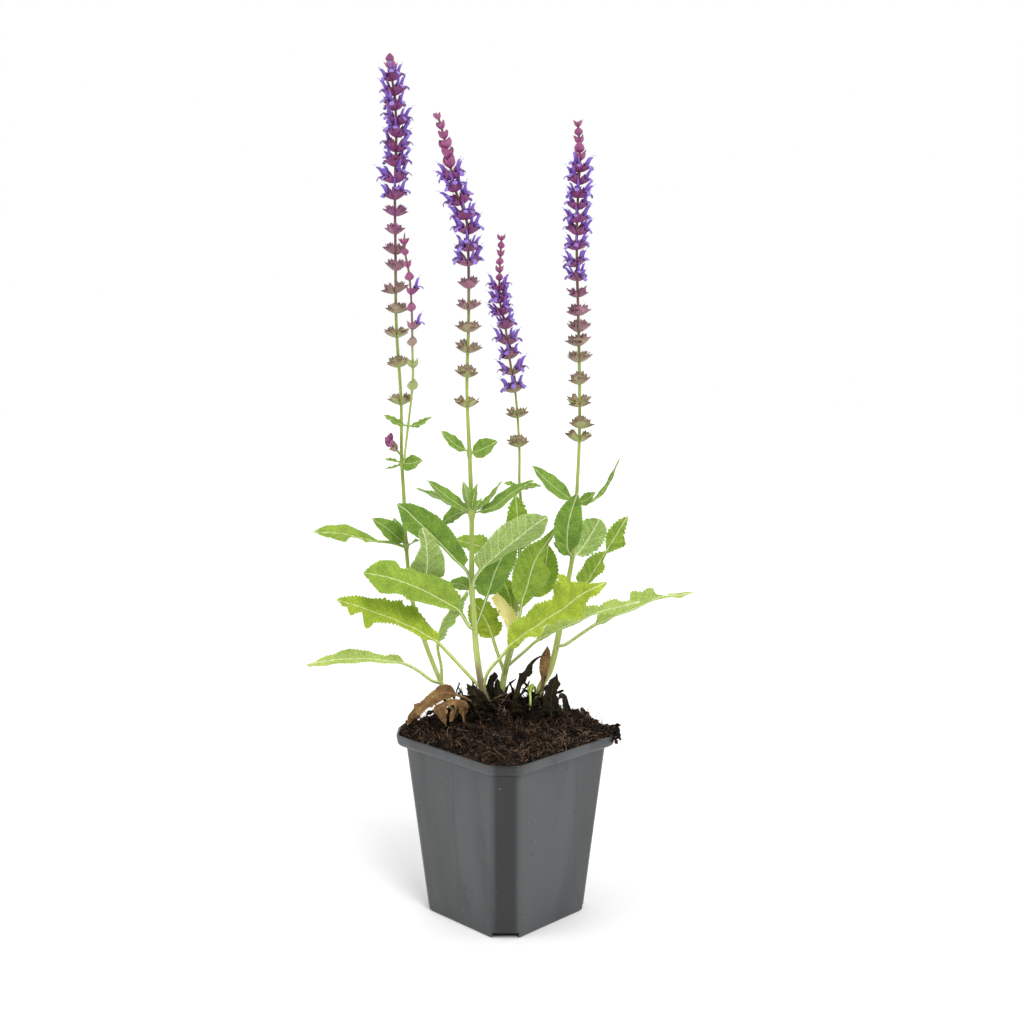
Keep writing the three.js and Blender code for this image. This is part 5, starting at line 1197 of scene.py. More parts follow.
# %% Small leaves on the stems
STEM_LEAVES = {  # path, width and the direction in which the upper side looks
    "left": [
        ([[-49, 2, 253], [-55, 0, 255], [-61, -2, 259]], 6, [0.1, -0.5, 0.85]),
        ([[-49, 2, 253], [-43, 0, 254], [-37, -3, 258]], 6, [-0.1, -0.5, 0.85]),
        ([[-53, 9, 234], [-57, 6, 235], [-61, 3, 236]], 5, [0, -0.3, 0.95]),
        ([[-53, 9, 233], [-57, 12, 231], [-62, 15, 230]], 5, [0, -0.2, 0.95]),
        ([[-53, 9, 233], [-47, 4, 234], [-42, 1, 236]], 9, [-0.2, -0.8, 0.5]),
        ([[-51, 8, 191], [-60, 5, 200], [-68, 3, 206]], 10, [-0.3, -0.6, 0.7]),
        ([[-51, 8, 192], [-55, 13, 197], [-58, 17, 204]], 7, [-0.5, -0.2, 0.8]),
        ([[-51, 8, 190], [-48, 4, 193], [-44, 1, 195]], 6, [0.3, -0.5, 0.8]),
    ],
    "centre": [
        ([[-18, -8, 241], [-25, -10, 245], [-32, -12, 252]], 8, [0.3, -0.6, 0.7]),
        ([[-18, -8, 240], [-11, -11, 243], [-4, -14, 247]], 10, [-0.2, -0.8, 0.5]),
        ([[-17, -7, 210], [-29, -11, 219], [-39, -15, 228]], 8, [0.3, -0.6, 0.7]),
        ([[-17, -7, 209], [-30, -5, 216], [-45, -2, 222]], 7, [0.3, 0.6, 0.7]),
        ([[-17, -7, 211], [-19, -10, 219], [-21, -12, 227]], 5, [0.1, 0.9, 0.3]),
        ([[-17, -7, 210], [-16, -11, 218], [-14, -14, 226]], 4, [-0.2, -0.9, 0.3]),
        ([[-17, -7, 211], [-14, -4, 214], [-12, -2, 217]], 4, [-0.3, -0.8, 0.4]),
        ([[-17, -7, 210], [-8, -10, 218], [-2, -13, 227]], 4, [-0.5, -0.6, 0.6]),
        ([[-17, -7, 210], [-6, -12, 214], [3, -14, 221], [14, -16, 228]], 9, [-0.2, -0.6, 0.8]),
        ([[-17, -7, 211], [-24, 0, 209], [-33, 5, 203]], 11, [-0.2, -0.7, 0.7]),
        ([[-17, -6, 170], [-23, 2, 172], [-30, 7, 171]], 9, [0, -0.7, 0.7]),
    ],
    "short": [
        ([[7, 14, 219], [3, 11, 222], [-1, 9, 223]], 5, [0.1, -0.5, 0.85]),
        ([[7, 14, 219], [12, 11, 221], [18, 8, 222]], 5, [-0.1, -0.5, 0.85]),
    ],
    "right": [
        ([[36, 2, 214], [24, -2, 223], [13, -5, 234]], 10, [0.5, -0.7, 0.5]),
        ([[36, 2, 214], [41, 0, 216], [45, -2, 220]], 7, [-0.4, -0.7, 0.6]),
        ([[36, 2, 213], [45, 6, 215], [51, 8, 221], [58, 9, 236]], 3, [-0.5, -0.6, 0.6]),
        ([[34, 3, 186], [29, 4, 189], [24, 1, 194]], 5, [0.3, -0.7, 0.6]),
    ],
}
DRY_LEAVES = {
    "dry_leaf_curled": dict(DRY_LEAF, stalk=0.36, wave=0.6, fold=-0.15,
        path=[[-12.6, -9, 103.8], [-15.7, -9.5, 111.9], [-20.6, -11, 115.8], [-25.2, -12, 117.7],
            [-30.2, -12.5, 119.3], [-34.8, -12.5, 117.5], [-38.9, -12, 114.6], [-43.1, -11, 111.3],
            [-46.8, -9, 107.5], [-49.5, -7, 104.3], [-50.7, -6, 100.2]],
        face=[0, -1, 0.2],
        left=[[1, 1.2], [9, 3.1], [28, 3.5], [46, 3.2], [53, 2.5], [65, 2.9], [74, 2.5], [76, 4.4],
            [94, 1.7]],
        right=[[2, 0.9], [4, 1.9], [11, 3.4], [23, 4], [29, 3], [56, 1.9], [64, 3.1], [70, 1.7], [89, 0.5]]),
    "dry_leaf_front": dict(DRY_LEAF, stalk=0.2, wave=0.4,
        path=[[-21.1, -15, 99.4], [-21.6, -15.5, 110], [-22, -16, 113.8], [-24.5, -16.5, 115.3],
            [-28, -17, 115.4], [-31.6, -17.5, 114.1], [-33.8, -17.5, 112.1], [-33.1, -17, 109.1],
            [-31.2, -16.5, 105.8], [-30.2, -16, 101.8]],
        face=[0, -1, 0.2],
        left=[[8, 1.8], [18, 1.9], [24, 10.7], [36, 1.5], [50, 1.7], [60, 5.6], [71, 3.1]],
        right=[[7, 2.2], [22, 2.7], [28, 1.7], [46, 1.1], [59, 1.4], [64, 2.4], [76, 1.2], [84, 1.4]]),
    "dry_leaf_dark": dict(DRY_LEAF, tint="leaf_black", stalk=0.25, fold=0.2,
        path=[[-8.5, -9, 103.3], [-10.6, -9.5, 110.8], [-13.1, -10.5, 115.3], [-16.3, -12, 119.9],
            [-19.8, -13, 123.7]],
        face=[0, -1, 0.2],
        left=[[29, 4.3], [45, 4.4], [52, 1.7], [62, 1], [74, 3.2], [90, 1.6]],
        right=[[11, 4], [28, 3], [53, 3.4], [68, 2.4], [78, 2.5], [88, 1.1]]),
    "dry_leaf_strip": dict(DRY_LEAF, stalk=0.08, wave=0.4, fold=0.25,
        path=[[4, -8, 104], [4.5, -8, 110.4], [5.2, -8, 115.1], [6.3, -7.5, 119.2], [7.8, -7, 123.8],
            [9.8, -7, 128], [12.3, -7, 131.4], [14.6, -7, 134.3], [18.2, -7, 136.7], [21.4, -7, 137]],
        face=[0, -1, 0.2],
        left=[[6, 1.5], [38, 1.4], [49, 1.7], [54, 2.4], [56, 1.2], [61, 0.7], [69, 1.3], [86, 0.5]],
        right=[[11, 1.6], [38, 1.2], [48, 2.5], [54, 2.1], [62, 3.3], [73, 0.9], [83, 0.6]]),
    "dry_leaf_standing": dict(DRY_LEAF, tint="leaf_black", stalk=0.29, wave=0.6, fold=0.2,
        path=[[23.1, -9, 99.1], [23.1, -9, 109.6], [23.3, -9, 115.4], [23.8, -9, 120.1], [24.9, -9, 124.3],
            [25.9, -9, 128.2]],
        face=[0, -1, 0.15],
        left=[[6, 3.9], [33, 4], [79, 2.7], [92, 0.3]],
        right=[[7, 4.5], [33, 3.7], [50, 2.1], [79, 3.4], [85, 1.7], [95, 0.8]]),
    "dry_leaf_low": dict(DRY_LEAF, tint="leaf_black", stalk=0.35, fold=0.2,
        path=[[31.6, -8, 99.3], [31.3, -8, 108.8], [30.7, -8.3, 113.1], [29.6, -8.8, 116.1],
            [28.1, -9.2, 116.9], [26.8, -9.5, 115.7]],
        face=[0, -1, 0.15],
        left=[[18, 2.1], [64, 1.7], [98, 0.9]],
        right=[[16, 2], [43, 1.2], [84, 1.2]]),
    "dry_sheath": dict(DRY_LEAF, stalk=0.2, wave=0.3, fold=-0.2,
        path=[[16.5, 0.5, 115], [18.9, -0.5, 117.7], [19.4, -1.2, 123.8], [19.9, -1.4, 128.6],
            [20.6, -1.4, 133.9], [21.2, -1.4, 140.8]],
        face=[0, -1, 0.15],
        left=[[10, 1.2], [20, 1.3], [32, 2.2], [45, 2.6], [67, 2.8], [82, 1.8]],
        right=[[10, 0.9], [24, 1.7], [48, 2.1], [71, 2.3], [88, 1.7]]),
    "new_leaflet": dict(DRY_LEAF, tint="leaf_fresh", stalk=0.69, wave=0.3, fold=0.3,
        path=[[12.5, -11, 103.9], [12.5, -12, 116.3], [12.4, -12.3, 118.7], [12.9, -12.5, 121.4],
            [14.3, -13, 124.1]],
        face=[0, -1, 0.3],
        left=[[13, 1.1], [41, 2.1], [87, 1]],
        right=[[22, 1.2], [60, 1.8], [89, 1.1]]),
    "dry_leaf_back": dict(DRY_LEAF, tint="leaf_black", stalk=0.13, fold=0.2,
        path=[[-7.4, 2, 101], [-7.4, 1.8, 107.5], [-7.4, 1.5, 112.9], [-7.5, 1.5, 118.2], [-6.9, 1.2, 122.1],
            [-6.1, 1, 125.9]],
        face=[0, -1, 0.1],
        left=[[16, 3.4], [36, 2.6], [50, 1.2], [68, 2.4], [91, 1.7]],
        right=[[16, 2.9], [55, 1.4], [76, 1.2], [92, 2.6], [99, 1.4]]),
    "dry_leaf_stump": dict(DRY_LEAF, stalk=0.14, fold=-0.2,
        path=[[-3, -1, 99.8], [-3, -1.2, 105.2], [-3.1, -1.4, 110], [-3.5, -1.6, 114.3], [-4.3, -1.6, 118.6],
            [-4.4, -1.4, 123]],
        face=[0, -1, 0.1],
        left=[[12, 3.6], [61, 2.4], [93, 1.1]],
        right=[[12, 4.2], [54, 4.4], [62, 2.6], [74, 1.5], [93, 1.3]]),
}
print("small leaves:", sum(map(len, STEM_LEAVES.values())), "and dry ones:", len(DRY_LEAVES))

# %% Leaf surface
VEINS = {"spacing": 4.6, "slant": 0.85, "bow": 0.012, "offset": 0.45}
BLADE = {"thick": 0.34, "rib": 0.55, "quilt": 0.32, "row": 0.33, "columns": 33, "tip": 0.12}
TOOTH_STEP = 1.75
LEAF_SHARP = 70  # degrees past which an edge of a leaf stays sharp
STALK_STEP = 1.5  # the stalk's rows are this far apart, and the blade's BLADE["row"]
RIPPLE_START, RIPPLE_ROWS, RIPPLE_TURN = 3, 10, 2.1  # the edges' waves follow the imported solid's rows
RAGGED = 1.6  # size in mm of the lumps that make margins and bites uneven


def side_vein(x, w):
    """Where a point lies between two side veins, in whole veins: a vein leaves the midrib forwards at slant,
    bows with the square of the distance, and the two sides are staggered."""
    away = np.abs(w)
    back = x - VEINS["slant"] * away - VEINS["bow"] * away**2
    return back / VEINS["spacing"] + np.where(w > 0, VEINS["offset"], 0)


def bare_half(shape, side, t, line):
    """Half width in mm at t along the blade, without teeth: the table's own margin, from point to point and
    round at the tip, or width / 2 times sin(pi t^warp)^blunt, less the bites."""
    if side in shape:
        end = [] if shape["round_tip"] else [[100, 0]]
        percent, far = np.array([[0, 0], *shape[side], *end], float).T
        to_tip = np.clip((line[-1, 0] - line[:, 0]) / max(far[-1], 0.1), 0, 1)
        margin = np.interp(100 * t + 0.5 * noise(line, RAGGED, 3), percent, far)
        return margin * np.sqrt(1 - (1 - to_tip) ** 2)
    warp = math.log(0.5) / math.log(shape["belly"])
    share = np.sin(np.pi * t**warp).clip(0) ** shape["blunt"]
    for where, at, reach, depth in shape["bites"]:
        near = np.clip(np.abs(t - at) / reach * (1 + 0.25 * noise(line, RAGGED, 3)), 0, 1)
        share *= 1 - (where == side) * depth * np.cos(near * np.pi / 2)
    return shape["width"] / 2 * share


def leaf_half(shape, side, t, x, stalk_size, seed):
    """Half width at t along the blade: the bare one plus round forward teeth, whose depth and place wander,
    and never under the stalk's or the tip's own half width."""
    line = np.column_stack([x, np.full_like(x, 7.0 * seed + (side == "left")), np.zeros_like(x)])
    bare = bare_half(shape, side, t, line)
    phase = (x / TOOTH_STEP + 0.6 * noise(line, 5, 1)) % 1.0
    lobe = 1 - np.abs(2 * phase**1.25 - 1) ** 2.4
    depth = 1.3 * shape["teeth"] * (0.8 + 0.5 * noise(line, 5, 2))
    teeth = depth * (lobe - 0.35) + shape["teeth"] * 0.4 * noise(line, 4.5, 4)
    body = bare + teeth * ramp(bare, 1.2, 3)
    return np.maximum(stalk_size / 2 * (1 - t) + BLADE["tip"] * t, body)


def blade_height(shape, t, v, w, half, flat, vein, scale):
    """How far the blade stands off its own plane: the fold rises towards the edges, the edges swing in waves,
    the skin bulges between the veins and sinks along the midrib, and crinkles are noise at two sizes."""
    swing = np.sin(RIPPLE_TURN * (RIPPLE_START + RIPPLE_ROWS * t))
    bulge = (0.5 - 0.5 * np.cos(2 * np.pi * vein)) * (1 - 0.4 * v**2) - 0.9 * np.exp(-((w / 0.9) ** 2))
    lumps = 1.1 * noise(flat, 7, 6) + 0.55 * noise(flat, 2.8, 7)
    on_blade = ramp(t, 0, 0.06)
    return (
        shape["fold"] * half * np.abs(v) ** 1.4
        - shape["wave"] * swing * v * np.abs(v) * on_blade
        + on_blade * BLADE["quilt"] * bulge / scale
        + on_blade * shape["crinkle"] * lumps * (0.35 + 0.65 * np.abs(v))
    )


def leaf_surface(shape, stalk_size=1.7, columns=BLADE["columns"], row=BLADE["row"], scale=1.0, seed=0):
    """The whole leaf as rings around its blade, the upper side first and the lower side back again. A point
    is rib(s) + side * w + normal * h, where w = v * half width and h is the blade's height and half its
    thickness. On the stalk the thickness is a rod's, and under the midrib a ridge is added."""
    stalk = shape["stalk"]
    length = walk(shape["path"], [0, 1])[2]
    s = np.concatenate([
        np.linspace(0, stalk, max(5, int(length * stalk / STALK_STEP)), endpoint=False),
        np.linspace(stalk, 1, int(length * (1 - stalk) / row) + 2),
    ])
    rib, ahead, _ = walk(shape["path"], s)
    face = np.array(shape["face"], float).reshape(-1, 3)
    side = unit(np.cross(ahead, face[0] + (face[-1] - face[0]) * s[:, None]))
    normal = np.cross(side, ahead)
    along = np.clip((s - stalk) / (1 - stalk), 0, 1)
    x = (s - stalk) * length
    left, right = (
        leaf_half(shape, where, along, x, stalk_size, seed)[:, None] for where in ("left", "right")
    )
    t = along[:, None]
    c = np.linspace(-1, 1, columns)
    v = (c * (0.75 + 0.25 * c**2))[None]
    half = np.where(v < 0, left, right)
    w = v * half
    flat = np.stack([np.broadcast_to(x[:, None], w.shape), w, np.full_like(w, 11.0 * seed)], axis=-1)
    x_warped = flat[..., 0] + 0.8 * noise(flat, 6, 8)
    vein = side_vein(x_warped * scale, w * scale)
    height = blade_height(shape, t, v, w, half, flat, vein, scale)
    on_blade = ramp(t, 0, 0.06)
    rod = stalk_size / 2 * np.sqrt(1 - 0.96 * v**2)
    blade = BLADE["thick"] / 2 * (1 - 0.45 * v**2) * (1 - 0.4 * t)
    ridge = BLADE["rib"] * np.exp(-((w / 0.75) ** 2)) * (1 - t) ** 0.7 * min(1, shape["width"] / 15)
    over = (1 - on_blade) * rod * 0.75 + on_blade * blade
    under = (1 - on_blade) * rod + on_blade * (blade + ridge)
    centre = rib[:, None] + side[:, None] * w[..., None]
    upper = centre + normal[:, None] * (height + over)[..., None]
    lower = centre + normal[:, None] * (height - under)[..., None]
    mark = np.stack([x_warped * scale, w * scale, half * scale], axis=-1)
    points, marks = (np.concatenate([up, low[:, ::-1]], axis=1) for up, low in ((upper, lower), (mark, mark)))
    rows, around = points.shape[:2]
    under_side = np.tile(np.arange(around) >= columns - 1, rows - 1).astype(int)
    paint = np.concatenate([under_side, np.ones(2 * (columns - 1), int)])
    return form(points, sheet_quads(rows, columns), marks={"blade": marks.reshape(-1, 3)}, paint=paint)


test_leaf = leaf_surface(LEAVES["leaf_front_big"])
print("the big front leaf has", len(test_leaf["quads"]), "quads")

# %% [markdown]
# The finishes of the leaves. All share one recipe: the blade's colour in soft patches, a net of fine veins
# from a cell pattern, the side veins and the midrib from the marks, and a paler margin. On the upper side the
# sunken net is painted darker, as shade in its creases. The lower side is paler, with the net standing out.
# Only the colours change from a young leaf to an old or a dry one.

# %% Leaf finishes
LEAF_TONES = {  # light, deep and vein of the upper side, then light and deep of the lower one
    "leaf_fresh": ("#cedb50", "#adc03c", "#e8f0b0", "#b0c765", "#9cb556"),
    "leaf_mid": ("#b6cb54", "#96b044", "#e0ebac", "#94b24f", "#83a046"),
    "leaf_small": ("#a6c25a", "#88a74b", "#dce8ac", "#94b258", "#829f48"),
    "leaf_dark": ("#96b44c", "#779840", "#d4e2a4", "#8cab50", "#7c9b46"),
    "leaf_pale": ("#d8e68c", "#c2d274", "#eef6c4", "#96b34c", "#829f3f"),
    "leaf_yellow": ("#f4e99a", "#e6da80", "#f8f0c4", "#dcd28c", "#c9bd72"),
    "leaf_dry": ("#b5895f", "#6a4730", "#c8a27a", "#9a7350", "#5e402c"),
    "leaf_black": ("#39301f", "#13110c", "#5c5036", "#2f291b", "#13110c"),
}
OTHER_LOOKS = {  # leaves whose finish isn't that of their own material
    "leaf_left_low": "leaf_pale", "leaf_short_dark_back": "leaf_mid", "leaf_short_basal": "leaf_mid",
    "dry_leaf_strip": "leaf_black", "dry_leaf_stump": "leaf_black",
}
LIVE_LEAF = {
    "Roughness": 0.6, "Specular_IOR_Level": 0.22, "Subsurface_Weight": 0.2,
    "Subsurface_Radius": (0.5, 1.0, 0.2), "Subsurface_Scale": 0.0008,
}
DRY_LOOK = {"Roughness": 0.85, "Specular_IOR_Level": 0.2}


def vein_masks(leaf, place, w, away):
    """Masks of the side veins, the midrib, the net of veins and the fine net. The side veins lie where the
    same sum as in side_vein is a whole number, on a blade that is bent a little by noise."""
    drift = leaf.node("TexNoise", {"Vector": place, "Scale": 0.35, "Detail": 2.0}, "Color")
    warped = leaf.node("VectorMath", {0: place, 1: drift}, operation="ADD")
    slant = leaf.maths("MULTIPLY_ADD", away, -VEINS["bow"], -VEINS["slant"])
    bowed = leaf.maths("MULTIPLY_ADD", away, slant, leaf.split(warped)[0])
    stagger = leaf.maths("MULTIPLY", leaf.maths("GREATER_THAN", w, 0.0), VEINS["offset"])
    count = leaf.maths("MULTIPLY_ADD", bowed, 1 / VEINS["spacing"], stagger)
    off_vein = leaf.off(leaf.maths("FRACT", leaf.maths("ADD", count, 0.5)), 0.5)
    net = leaf.step(leaf.cells(warped, 0.62), 0.12, 0.0)
    fine_net = leaf.step(leaf.cells(warped, 1.25), 0.2, 0.0)
    return leaf.step(off_vein, 0.065, 0.015), leaf.step(away, 0.42, 0.14), net, fine_net


def leaf_finish(name, light, deep, vein, lower):
    """One side of a leaf. The mark is (mm along, mm across, half width there)."""
    dry, yellow = name.startswith(("leaf_dry", "leaf_black")), name.startswith("leaf_yellow")
    leaf = Finish(name, **(DRY_LOOK if dry else LIVE_LEAF))
    light, deep, vein = tone(light), tone(deep), tone(vein)
    place = leaf.mark("blade")
    _, w, half = leaf.split(place)
    away = leaf.maths("ABSOLUTE", w)
    side_veins, midrib, net, fine_net = vein_masks(leaf, place, w, away)
    patches = leaf.noise(place, 0.14, 3)
    freckles = leaf.noise(place, 0.9, 3, 0.7)
    colour = leaf.mix(leaf.step(patches, 0.3, 0.7), deep, light)
    colour = leaf.mix(leaf.step(freckles, 0.5, 0.68, 0, 0.25 if lower else 0.6), colour, deep)
    margin = leaf.step(leaf.maths("SUBTRACT", half, away), 0.9, 0.1)
    colour = leaf.glaze(margin, 0.15, colour, vein)
    if lower:
        colour = leaf.glaze(fine_net, 0.12, colour, vein)
        colour = leaf.glaze(net, 0.32, colour, vein)
    elif not yellow:
        # painted shade: on the upper side the sunken net of veins is darkened, as shade in its creases
        painted_crease_shade = leaf.maths("MAXIMUM", leaf.maths("MULTIPLY", net, 0.8), fine_net)
        colour = leaf.mix(painted_crease_shade, colour, tone("#bccb9c"), "MULTIPLY")
    colour = leaf.glaze(side_veins, 0.1 if dry else 0.55 if lower else 0.14, colour, vein)
    colour = leaf.glaze(midrib, 0.3 if dry else 0.85, colour, vein)
    if yellow:
        spots = leaf.step(leaf.cells(place, 0.16, "F1"), 0.13, 0.08)
        colour = leaf.mix(spots, colour, tone("#4a3420"))
    rise = leaf.maths("MAXIMUM", leaf.maths("MULTIPLY", net, 0.6), leaf.maths("MULTIPLY", fine_net, 0.3))
    rise = leaf.maths("MAXIMUM", rise, leaf.maths("MULTIPLY", side_veins, 0.9))
    relief = leaf.bump(leaf.maths("MULTIPLY", rise, 1.0 if lower else -1.0), 0.0003, 0.8)
    return leaf.wear(Base_Color=colour, Normal=relief)


leaf_finishes = {}
for tint, (light, deep, vein, low_light, low_deep) in LEAF_TONES.items():
    leaf_finishes[tint] = [
        leaf_finish(tint, light, deep, vein, lower=False),
        leaf_finish(tint + "_under", low_light, low_deep, vein, lower=True),
    ]
print("leaf finishes:", len(leaf_finishes) * 2)

# %% Leaves
def leaf_pieces(leaves, first_seed, **size):
    """A piece for every leaf of a table, each with noise of its own."""
    for seed, (name, shape) in enumerate(leaves.items(), first_seed):
        finishes = leaf_finishes[OTHER_LOOKS.get(name, shape["tint"])]
        surface = leaf_surface(shape, seed=seed, **size)
        piece(name + "_blade", surface, finishes, [name], sharp=LEAF_SHARP)


leaf_pieces(LEAVES, 0)
leaf_pieces(DRY_LEAVES, 40, stalk_size=1.2, columns=21)

# %% Stems with their small leaves
SMALL = {"stalk_size": 1.0, "columns": 17, "row": 0.55, "scale": 1.7}
SIDE_JOINT = 253  # height of the small leaves on the side branch

for name, leaves in STEM_LEAVES.items():
    tubes = [stem_tube(name, sorted({path[0][2] for path, _, _ in leaves}))]
    if name == "left":
        tubes += [stem_tube("side", [SIDE_JOINT]), stem_tube("axil")]
    piece(f"stem_{name}_stalk", join(tubes), [stem_green], [f"stem_{name}"])
    blades = join([
        leaf_surface(dict(SMALL_LEAF, path=path, width=width, face=face), seed=60 + k, **SMALL)
        for k, (path, width, face) in enumerate(leaves)
    ])
    looks = leaf_finishes["leaf_small"]
    piece(f"stem_{name}_leaves", blades, looks, [f"stem_{name}"], sharp=LEAF_SHARP)

# %% [markdown]
# ## Flower spikes
# A sage spike is a ladder of rings. Each ring has two pointed bracts on opposite sides, and three florets in
# front of each; the next ring is turned by a quarter. A floret is a ribbed purple calyx with pointed teeth,
# and out of it comes a violet corolla with a sickle hood and a hanging lower lip. At the tip, closed buds sit
# in their bracts. Each shape is made once, with few faces, and copied by turns worked out for all the rings
# at once.

# %% Calyx, corolla, bract and bud
CALYX_TEETH = np.radians([0, 25, 50, 95, 140, 180, 220, 265, 310, 335])
CALYX_REACH = np.array([6.5, 5.5, 6.5, 5.2, 7.4, 5.9, 7.4, 5.2, 6.5, 5.5])
CALYX_POINTS = len(CALYX_TEETH)


def calyx_template():
    """A bell along X: four rings that widen to the mouth, whose last ring is pulled out into three short
    teeth above and two long ones below, then a ring and a point inside that close the mouth."""
    across = np.stack([-np.sin(CALYX_TEETH), np.cos(CALYX_TEETH)], axis=-1)
    rib = np.where(np.arange(CALYX_POINTS) % 2 == 0, 1.08, 0.92)
    bell = [(0.3, 0.35), (2.0, 1.25 * rib), (4.3, 1.75 * rib), (CALYX_REACH, 2.0 * rib**1.5), (4.4, 1.45)]
    rings = []
    for x, size in bell:
        ring = np.broadcast_to(size, CALYX_POINTS)[:, None] * across
        rings.append(np.column_stack([np.broadcast_to(x, CALYX_POINTS), ring]))
    points = np.concatenate([*rings, [[0.0, 0, 0], [3.2, 0, 0]]])
    quads = grid_quads(len(bell), CALYX_POINTS, around=True)
    return form(points, quads, capped(len(bell), CALYX_POINTS), {"along": points[:, 0] / CALYX_REACH.max()})


def lobe(path, widths, heights, around=6):
    """A tapering lobe along a path in the XZ plane: rings of an ellipse whose width runs along Y."""
    path = np.array([[x, 0, z] for x, z in path])
    ahead = unit(np.gradient(path, axis=0))
    up = np.cross(ahead, [0.0, 1.0, 0.0])
    angles = np.linspace(0, 2 * math.pi, around, endpoint=False)
    wide = np.array(widths)[:, None, None] * np.cos(angles)[None, :, None] * np.array([0.0, -1.0, 0.0])
    tall = np.array(heights)[:, None, None] * np.sin(angles)[None, :, None] * -up[:, None]
    rings = path[:, None] + wide + tall
    points = np.concatenate([rings.reshape(-1, 3), path[[0, -1]] - ahead[[0, -1]] * [[0.1], [-0.1]]])
    return form(points, grid_quads(len(path), around, around=True), capped(len(path), around))


def marked(shape, along, lip):
    """A part of the corolla with its two marks."""
    count = len(shape["points"])
    marks = {"along": np.clip(np.broadcast_to(along, count), 0, 1), "lip": np.full(count, lip)}
    return {**shape, "marks": marks}


def corolla_template():
    """The hood arches forward from the calyx's mouth, the lip falls from it and widens into a round lobe, and
    a thread of a style stands out from the hood."""
    hood = lobe([(4.0, 0.2), (6.2, 0.7), (7.9, 1.5), (9.5, 2.0), (10.7, 1.7)],
                [0.8, 0.85, 0.62, 0.5, 0.28], [0.8, 0.95, 0.85, 0.7, 0.3])
    lip = lobe([(5.0, -0.3), (6.5, -0.6), (7.5, -1.5), (7.6, -2.8), (7.3, -3.6)],
               [0.7, 1.25, 0.8, 1.45, 0.7], [0.5, 0.45, 0.28, 0.24, 0.15])
    style = lobe([(10.2, 1.9), (11.6, 2.3), (12.6, 1.8)], [0.1, 0.09, 0.08], [0.1, 0.09, 0.08], 3)
    return join([
        marked(hood, (hood["points"][:, 0] - 4) / 7, 0.0),
        marked(lip, -lip["points"][:, 2] / 3.6, 1.0),
        marked(style, 1.0, 0.6),
    ])


def bract_template(rows=6, cols=5, length=5.8, width=5.4, cup=0.16, curl=0.05):
    """A pointed scale: half width = width / 2 * sin(pi t^0.7)^0.75, hollowed by cup * y^2 and curled up by
    curl * x^2, with the lower side 0.3 mm under the upper one, and more at the midrib's foot."""
    t = np.linspace(0, 1, rows)[:, None]
    v = np.linspace(-1, 1, cols)[None]
    half = np.maximum(width / 2 * np.sin(np.pi * t**0.7).clip(0) ** 0.75, 0.18 + 0.4 * (1 - t))
    x = np.broadcast_to(0.3 + length * t, (rows, cols))
    y = -half * v
    z = cup * y**2 + curl * x**2
    upper = np.stack([x, y, z + 0.15], axis=-1)
    lower = np.stack([x, y, z - 0.15 - 0.25 * (1 - np.abs(v)) * (1 - t)], axis=-1)
    rings = np.concatenate([upper, lower[:, ::-1]], axis=1)
    return form(rings, sheet_quads(rows, cols), marks={"along": np.repeat(t[:, 0], 2 * cols)})


def bud_template():
    """A closed bud: an almond that lies in the hollow of its bract and comes to a point beyond the middle."""
    almond = lobe([(0.2, 0.4), (1.4, 0.8), (2.8, 1.1), (4.2, 1.5), (5.3, 2.1)],
                  [0.6, 1.5, 1.8, 1.2, 0.2], [0.5, 1.2, 1.5, 1.0, 0.2], 8)
    return {**almond, "marks": {"along": np.clip(almond["points"][:, 0] / 5.3, 0, 1)}}


TEMPLATES = {
    "bract": bract_template(),
    "bud": bud_template(),
    "calyx": calyx_template(),
    "corolla": corolla_template(),
}
for kind, shape in TEMPLATES.items():
    print(f"{kind}: {len(shape['quads']) + len(shape['tris'])} faces")

# %% [markdown]
# Their finishes read three marks: along, from root to tip of the part; lip, which tells a corolla's lip from
# its hood; and mood, which holds the ring's age from the closed tip of the spike (0) to its foot (1), a
# random number for each copy, and the copy's size.

# %% Flower finishes
def calyx_finish():
    """Dark purple among the flowers, brown-purple lower down and greener at the foot, with dark teeth."""
    skin = Finish("calyx", Roughness=0.6, Specular_IOR_Level=0.3)
    age, luck, _ = skin.split(skin.mark("mood"))
    along = skin.mark("along", "Fac")
    grain = skin.noise(skin.spot(), 2600, 2)
    old = skin.step(age, 0.3, 0.95)
    foot = skin.mix(old, tone("#92447f"), tone("#aab872"))
    dusty = skin.mix(old, tone("#a05a96"), tone("#a88d78"))
    colour = skin.mix(old, tone("#743c70"), tone("#8f745f"))
    colour = skin.mix(skin.step(along, 0.9, 0.35), colour, foot)
    colour = skin.mix(skin.step(along, 0.75, 1.0, 0, 0.7), colour, tone("#5c3742"))
    colour = skin.glaze(luck, 0.5, colour, dusty)
    colour = skin.mix(skin.step(grain, 0.5, 0.7, 0, 0.3), colour, tone("#a97f86"))
    return skin.wear(Base_Color=colour, Normal=skin.bump(grain, 0.0002, 0.6))


def bract_finish():
    """Magenta at the closed tip and among the flowers, dusky lower down, and green with a purple edge at the
    foot."""
    skin = Finish("bract", Roughness=0.55, Specular_IOR_Level=0.35)
    age, luck, _ = skin.split(skin.mark("mood"))
    along = skin.mark("along", "Fac")
    grain = skin.noise(skin.spot(), 1500, 3)
    colour = skin.mix(skin.step(age, 0.35, 0.6), tone("#97497c"), tone("#a06f80"))
    colour = skin.mix(skin.step(age, 0.58, 0.8), colour, tone("#a5ba68"))
    colour = skin.glaze(luck, 0.35, colour, tone("#c080a4"))
    colour = skin.mix(skin.step(along, 0.75, 1.0, 0, 0.4), colour, tone("#74405c"))
    colour = skin.mix(skin.step(grain, 0.5, 0.75, 0, 0.25), colour, tone("#c48aa8"))
    return skin.wear(Base_Color=colour, Normal=skin.bump(grain, 0.0002, 0.5))


